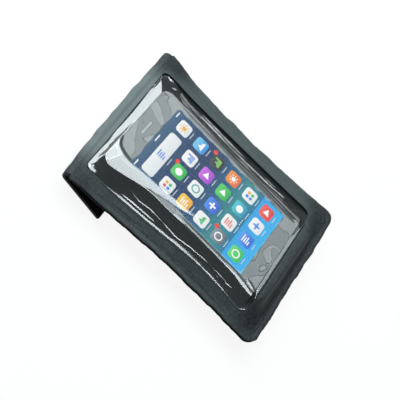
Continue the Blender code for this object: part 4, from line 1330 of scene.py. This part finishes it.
# Tiles by row: top colour, foot colour, symbol and its colour
TILES = (
    (("#F4F6F8", "#E2E7EB", "bars", "#3A7BE0"), ("#F8F9FA", "#E8ECF0", "sun", "#F5B62E")),
    (
        ("#FAFBFB", "#E6EAEE", "dots", "#E0508C"),
        ("#5AD468", "#28B24A", "disc", "#FFFFFF"),
        ("#FAFAFA", "#ECEEF0", "chart", "#3A7BE0"),
        ("#7FD0F5", "#2C8CE0", "hill", "#FFFFFF"),
    ),
    (
        ("#F9D054", "#F2A92B", "bars", "#FFFFFF"),
        ("#F7F8FA", "#E9ECEF", "ring", "#30A7A0"),
        ("#D66BE8", "#A13CD0", "play", "#FFFFFF"),
        ("#3C444C", "#20262C", "chart", "#9BE06A"),
    ),
    (
        ("#F8F9FA", "#E8ECF0", "hill", "#48B86A"),
        ("#4F93F2", "#2458D0", "plus", "#FFFFFF"),
        ("#5AD468", "#28B24A", "play", "#FFFFFF"),
        ("#F59A3C", "#E8632A", "sun", "#FFFFFF"),
    ),
    (
        ("#8D969E", "#5D666E", "ring", "#FFFFFF"),
        ("#F8F9FA", "#E6EAEE", "bars", "#E8503C"),
        ("#4CCBD8", "#1F93B8", "disc", "#FFFFFF"),
        ("#F8F9FA", "#E8ECF0", "dots", "#3A7BE0"),
    ),
)
DOCK = (
    ("#6BE07A", "#2EBF4C", "ring", "#FFFFFF"),
    ("#5B9BF5", "#2A62DC", "bars", "#FFFFFF"),
    ("#FAFBFC", "#E4EAF0", "plus", "#2F86E6"),
    ("#F5625A", "#E23A3A", "play", "#FFFFFF"),
)
# Row and column of the tiles with a dot at their corner
DOTTED = ((1, 1), (2, 3), (4, 0))

# Height up the screen, and the wallpaper's colour there
WALLPAPER = (
    (0.00, "#2FB4F0"),
    (DOCK_SHARE, "#25A2E6"),
    (DOCK_SHARE, "#15749C"),
    (0.30, "#2A8C90"),
    (0.44, "#175A84"),
    (0.60, "#0C3263"),
    (0.78, "#143866"),
    (0.90, "#274E76"),
    (1.00, "#3C5E80"),
)


def draw_symbol(draw, kind, x, y, colour):
    """A plain symbol on a tile. Its sizes are shares of the tile."""

    def at(u, v):
        return x + u * TILE, y + v * TILE

    def bar(u, v, width, height, radius, level=3):
        draw.block(*at(u, v), width * TILE, height * TILE, radius * TILE, level, colour)

    if kind == "disc":
        draw.disc(x, y, 0.27 * TILE, 3, colour)
    elif kind == "ring":
        around = circle(x, y, 0.27 * TILE, 24)
        draw.line(around + around[:1], 0.09 * TILE, 3, colour)
    elif kind == "bars":
        for row, length in enumerate((0.56, 0.44, 0.56, 0.32)):
            bar((length - 0.56) / 2, 0.24 - 0.16 * row, length, 0.08, 0.03)
    elif kind == "chart":
        for column, height in enumerate((0.22, 0.42, 0.32, 0.56)):
            bar((column - 1.5) * 0.15, (height - 0.56) / 2, 0.1, height, 0.02)
    elif kind == "play":
        draw.face([at(-0.17, -0.26), at(0.28, 0.0), at(-0.17, 0.26)], 3, colour)
    elif kind == "plus":
        bar(0.0, 0.0, 0.56, 0.13, 0.04)
        bar(0.0, 0.0, 0.13, 0.56, 0.04, level=4)
    elif kind == "sun":
        draw.disc(x, y, 0.16 * TILE, 3, colour)
        for spoke in range(8):
            c, s = math.cos(spoke * math.pi / 4), math.sin(spoke * math.pi / 4)
            draw.line([at(0.22 * c, 0.22 * s), at(0.33 * c, 0.33 * s)], 0.07 * TILE, 3, colour)
    elif kind == "hill":
        draw.face([at(-0.34, -0.22), at(0.18, -0.22), at(-0.08, 0.20)], 3, colour)
        draw.face([at(-0.02, -0.22), at(0.36, -0.22), at(0.17, 0.06)], 4, colour)
    elif kind == "dots":
        corners = ((-1, 1, colour), (1, 1, "#F2B233"), (1, -1, "#4CBF62"), (-1, -1, "#3E8CE6"))
        for across, up, shade in corners:
            draw.disc(*at(0.15 * across, 0.15 * up), 0.12 * TILE, 3, shade, 14)
    else:
        raise RuntimeError(f"No symbol is named {kind}")


class CASE_OT_screen(bpy.types.Operator):
    """Lit display: a wallpaper, rows of plain tiles and a lighter dock"""

    bl_idname = "case.screen"
    bl_label = "Screen"

    def execute(self, context):
        draw = Drawing()
        low = SCREEN_Y - SCREEN_LENGTH / 2
        high = low + SCREEN_LENGTH
        half = SCREEN_WIDTH / 2
        for (share_a, colour_a), (share_b, colour_b) in zip(WALLPAPER, WALLPAPER[1:]):
            ya, yb = low + SCREEN_LENGTH * share_a, low + SCREEN_LENGTH * share_b
            if yb > ya:
                draw.face([(-half, ya), (half, ya), (half, yb), (-half, yb)], 1, colour_b, colour_a)
        for row, tiles in enumerate(TILES):
            y = high - FIRST_ROW - row * TILE_PITCH_Y
            for column, (top, foot, kind, colour) in enumerate(tiles):
                x = (column - 1.5) * TILE_PITCH_X
                width = TILE
                if row == 0:
                    # The first row is one wide tile and one plain one.
                    x = (-0.5, 1.5)[column] * TILE_PITCH_X
                    width = (TILE + 2 * TILE_PITCH_X, TILE)[column]
                draw.block(x, y, width, TILE, TILE_RADIUS, 2, top, foot)
                draw_symbol(draw, kind, x, y, colour)
                draw.block(x, y - LABEL_BELOW, *LABEL, 2, LABEL_COLOUR)
                if (row, column) in DOTTED:
                    draw.disc(x + TILE / 2, y + TILE / 2, DOT_RADIUS, 4, DOT_COLOUR, 16)
        y = low + DOCK_ROW
        for column, (top, foot, kind, colour) in enumerate(DOCK):
            x = (column - 1.5) * TILE_PITCH_X
            draw.block(x, y, TILE, TILE, TILE_RADIUS, 2, top, foot)
            draw_symbol(draw, kind, x, y, colour)
            draw.block(x, y - LABEL_BELOW, *DOCK_LABEL, 2, LABEL_COLOUR)
        spots, above, radius = PAGE_DOTS
        for x in spots:
            draw.disc(x, low + SCREEN_LENGTH * DOCK_SHARE + above, radius, 2, WHITE, 10)
        for x, width in STATUS_MARKS:
            draw.block(x, high - STATUS_BELOW, width, STATUS_HEIGHT, STATUS_RADIUS, 2, WHITE)
        screen = place_mesh("screen_face", draw.work)
        shine = lit_display(context.scene.case_phone.screen)
        dress(screen, shine, replaces=("phone_display",))
        return {"FINISHED"}


# The camera was fitted to the corners of the display, the window and the pouch.
CAMERA_TURN = (math.radians(12.48), math.radians(32.95), math.radians(53.46))
CAMERA_OFFSET = Vector((-0.00344, -0.00300, 0.650))
CAMERA_TARGET = Vector((0.0, 0.0009, 0.0131))
CAMERA_LENS = 101.69
SENSOR_WIDTH = 36
FLOOR_REACH = 6.0
LAMP_COLOUR = (0.90, 0.98, 1.0)

# Softboxes, a metre away: the setting with their radiance, the direction that they shine from, and
# their width and height in metres
LAMPS = (
    ("wall_softbox", "wall", (0.444, 0.711, 0.545), 0.62, 1.05),
    ("overhead_strip", "overhead", (0.16, 0.0, 0.987), 0.86, 0.30),
    ("corner_softbox", "corner", (0.44, 0.33, 0.835), 0.32, 0.50),
)

# Soft card in the world: its direction, and the cosines from its faint edge to its full middle
CARD_DIRECTION = (0.56, -0.08, 0.82)
CARD_EDGE = 0.95
CARD_MIDDLE = 0.9985


def softbox(name, direction, width, height, radiance):
    """A softbox that faces the case from this direction."""
    lamp = bpy.data.lights.new(name, "AREA")
    lamp.shape = "RECTANGLE"
    lamp.size, lamp.size_y = width, height
    # The watts of a flat lamp are its radiance, times pi, times its area.
    lamp.energy = radiance * math.pi * width * height
    lamp.color = LAMP_COLOUR
    made = bpy.data.objects.new(name, lamp)
    away = Vector(direction).normalized()
    made.location = CAMERA_TARGET + away
    made.rotation_euler = away.to_track_quat("Z", "Y").to_euler()
    made.visible_camera = False
    bpy.context.scene.collection.objects.link(made)


def white_paper():
    """Paper, bleached and uncoated: matt white. The camera and mirrors see it nearly as plain white."""
    made, tree, output = new_material("white_paper")
    diffuse = add(tree, "BsdfDiffuse", {"Color": linear("#F2F2F2")})
    glow = add(tree, "Emission", {"Color": (1, 1, 1, 1), "Strength": 1.0})
    ray = add(tree, "LightPath").outputs
    seen = add(tree, "Math", {0: ray["Is Camera Ray"], 1: ray["Is Glossy Ray"]}, operation="MAXIMUM")
    seen = add(tree, "Math", {0: seen.outputs[0], 1: ray["Is Transmission Ray"]}, operation="MAXIMUM")
    # A tenth of what is seen stays paper, which keeps the case's shadow.
    share = add(tree, "Math", {0: seen.outputs[0], 1: 0.9}, operation="MULTIPLY")
    mixed = add(tree, "MixShader", {0: share.outputs[0], 1: diffuse.outputs[0], 2: glow.outputs[0]})
    tree.links.new(mixed.outputs[0], output.inputs["Surface"])
    return made


class CASE_OT_stage(bpy.types.Operator):
    """Pale floor, softboxes, a soft card and the camera"""

    bl_idname = "case.stage"
    bl_label = "Stage"

    def execute(self, context):
        scene = context.scene
        settings = scene.case_stage
        scene.view_settings.view_transform = "Standard"
        turn_x, turn_y, turn_z = (Matrix.Rotation(turn, 3, axis) for turn, axis in zip(CAMERA_TURN, "XYZ"))
        to_world = (turn_z @ turn_y @ turn_x).transposed()
        data = bpy.data.cameras.new("camera")
        data.lens = CAMERA_LENS
        data.sensor_width = SENSOR_WIDTH
        camera = bpy.data.objects.new("camera", data)
        place = Matrix.Translation(CAMERA_TARGET + to_world @ CAMERA_OFFSET)
        camera.matrix_world = place @ to_world.to_4x4()
        scene.collection.objects.link(camera)
        scene.camera = camera

        mesh = bpy.data.meshes.new("floor")
        corners = [(x * FLOOR_REACH, y * FLOOR_REACH, 0) for x, y in ((-1, -1), (1, -1), (1, 1), (-1, 1))]
        mesh.from_pydata(corners, [], [(0, 1, 2, 3)])
        mesh.materials.append(white_paper())
        floor = bpy.data.objects.new("floor", mesh)
        scene.collection.objects.link(floor)

        for name, setting, direction, width, height in LAMPS:
            softbox(name, direction, width, height, getattr(settings, setting))

        world = bpy.data.worlds.new("studio")
        scene.world = world
        world.use_nodes = True
        tree = world.node_tree
        tree.nodes.clear()
        direction = add(tree, "TexCoord").outputs["Generated"]
        card = Vector(CARD_DIRECTION).normalized()
        lean = add(tree, "VectorMath", {0: direction, 1: card}, operation="DOT_PRODUCT")
        span = {1: CARD_EDGE, 2: CARD_MIDDLE, 3: settings.room, 4: settings.card}
        fade = add(
            tree, "MapRange", {"Value": lean.outputs["Value"], **span}, interpolation_type="SMOOTHSTEP"
        )
        room = add(tree, "Background", {"Color": (*LAMP_COLOUR, 1), "Strength": fade.outputs[0]})
        seen = add(tree, "Background", {"Color": (1, 1, 1, 1), "Strength": 1.0})
        camera_ray = add(tree, "LightPath").outputs["Is Camera Ray"]
        mixed = add(tree, "MixShader", {0: camera_ray, 1: room.outputs[0], 2: seen.outputs[0]})
        add(tree, "OutputWorld", {"Surface": mixed.outputs[0]})
        return {"FINISHED"}


ORDER = ("stage", "front_panel", "back_panel", "window_film", "closure", "adapter", "phone", "screen")


class CASE_PT_sidebar(bpy.types.Panel):
    """Lists the pieces in the order in which they are made"""

    bl_label = "Phone Case"
    bl_idname = "CASE_PT_sidebar"
    bl_space_type = "VIEW_3D"
    bl_region_type = "UI"
    bl_category = "Phone Case"

    def draw(self, context):
        for name in ORDER:
            self.layout.operator(f"case.{name}")


GROUPS = {
    "case_fabric": CASE_PG_fabric,
    "case_film": CASE_PG_film,
    "case_closure": CASE_PG_closure,
    "case_hardware": CASE_PG_hardware,
    "case_phone": CASE_PG_phone,
    "case_stage": CASE_PG_stage,
}

CLASSES = (
    *GROUPS.values(),
    CASE_OT_stage,
    CASE_OT_front_panel,
    CASE_OT_back_panel,
    CASE_OT_window_film,
    CASE_OT_closure,
    CASE_OT_adapter,
    CASE_OT_phone,
    CASE_OT_screen,
    CASE_PT_sidebar,
)


def register():
    for cls in CLASSES:
        bpy.utils.register_class(cls)
    for name, group in GROUPS.items():
        setattr(bpy.types.Scene, name, PointerProperty(type=group))


def unregister():
    for name in GROUPS:
        delattr(bpy.types.Scene, name)
    for cls in reversed(CLASSES):
        bpy.utils.unregister_class(cls)


def main():
    register()
    for name in ORDER:
        getattr(bpy.ops.case, name)()


if __name__ == "__main__":
    main()
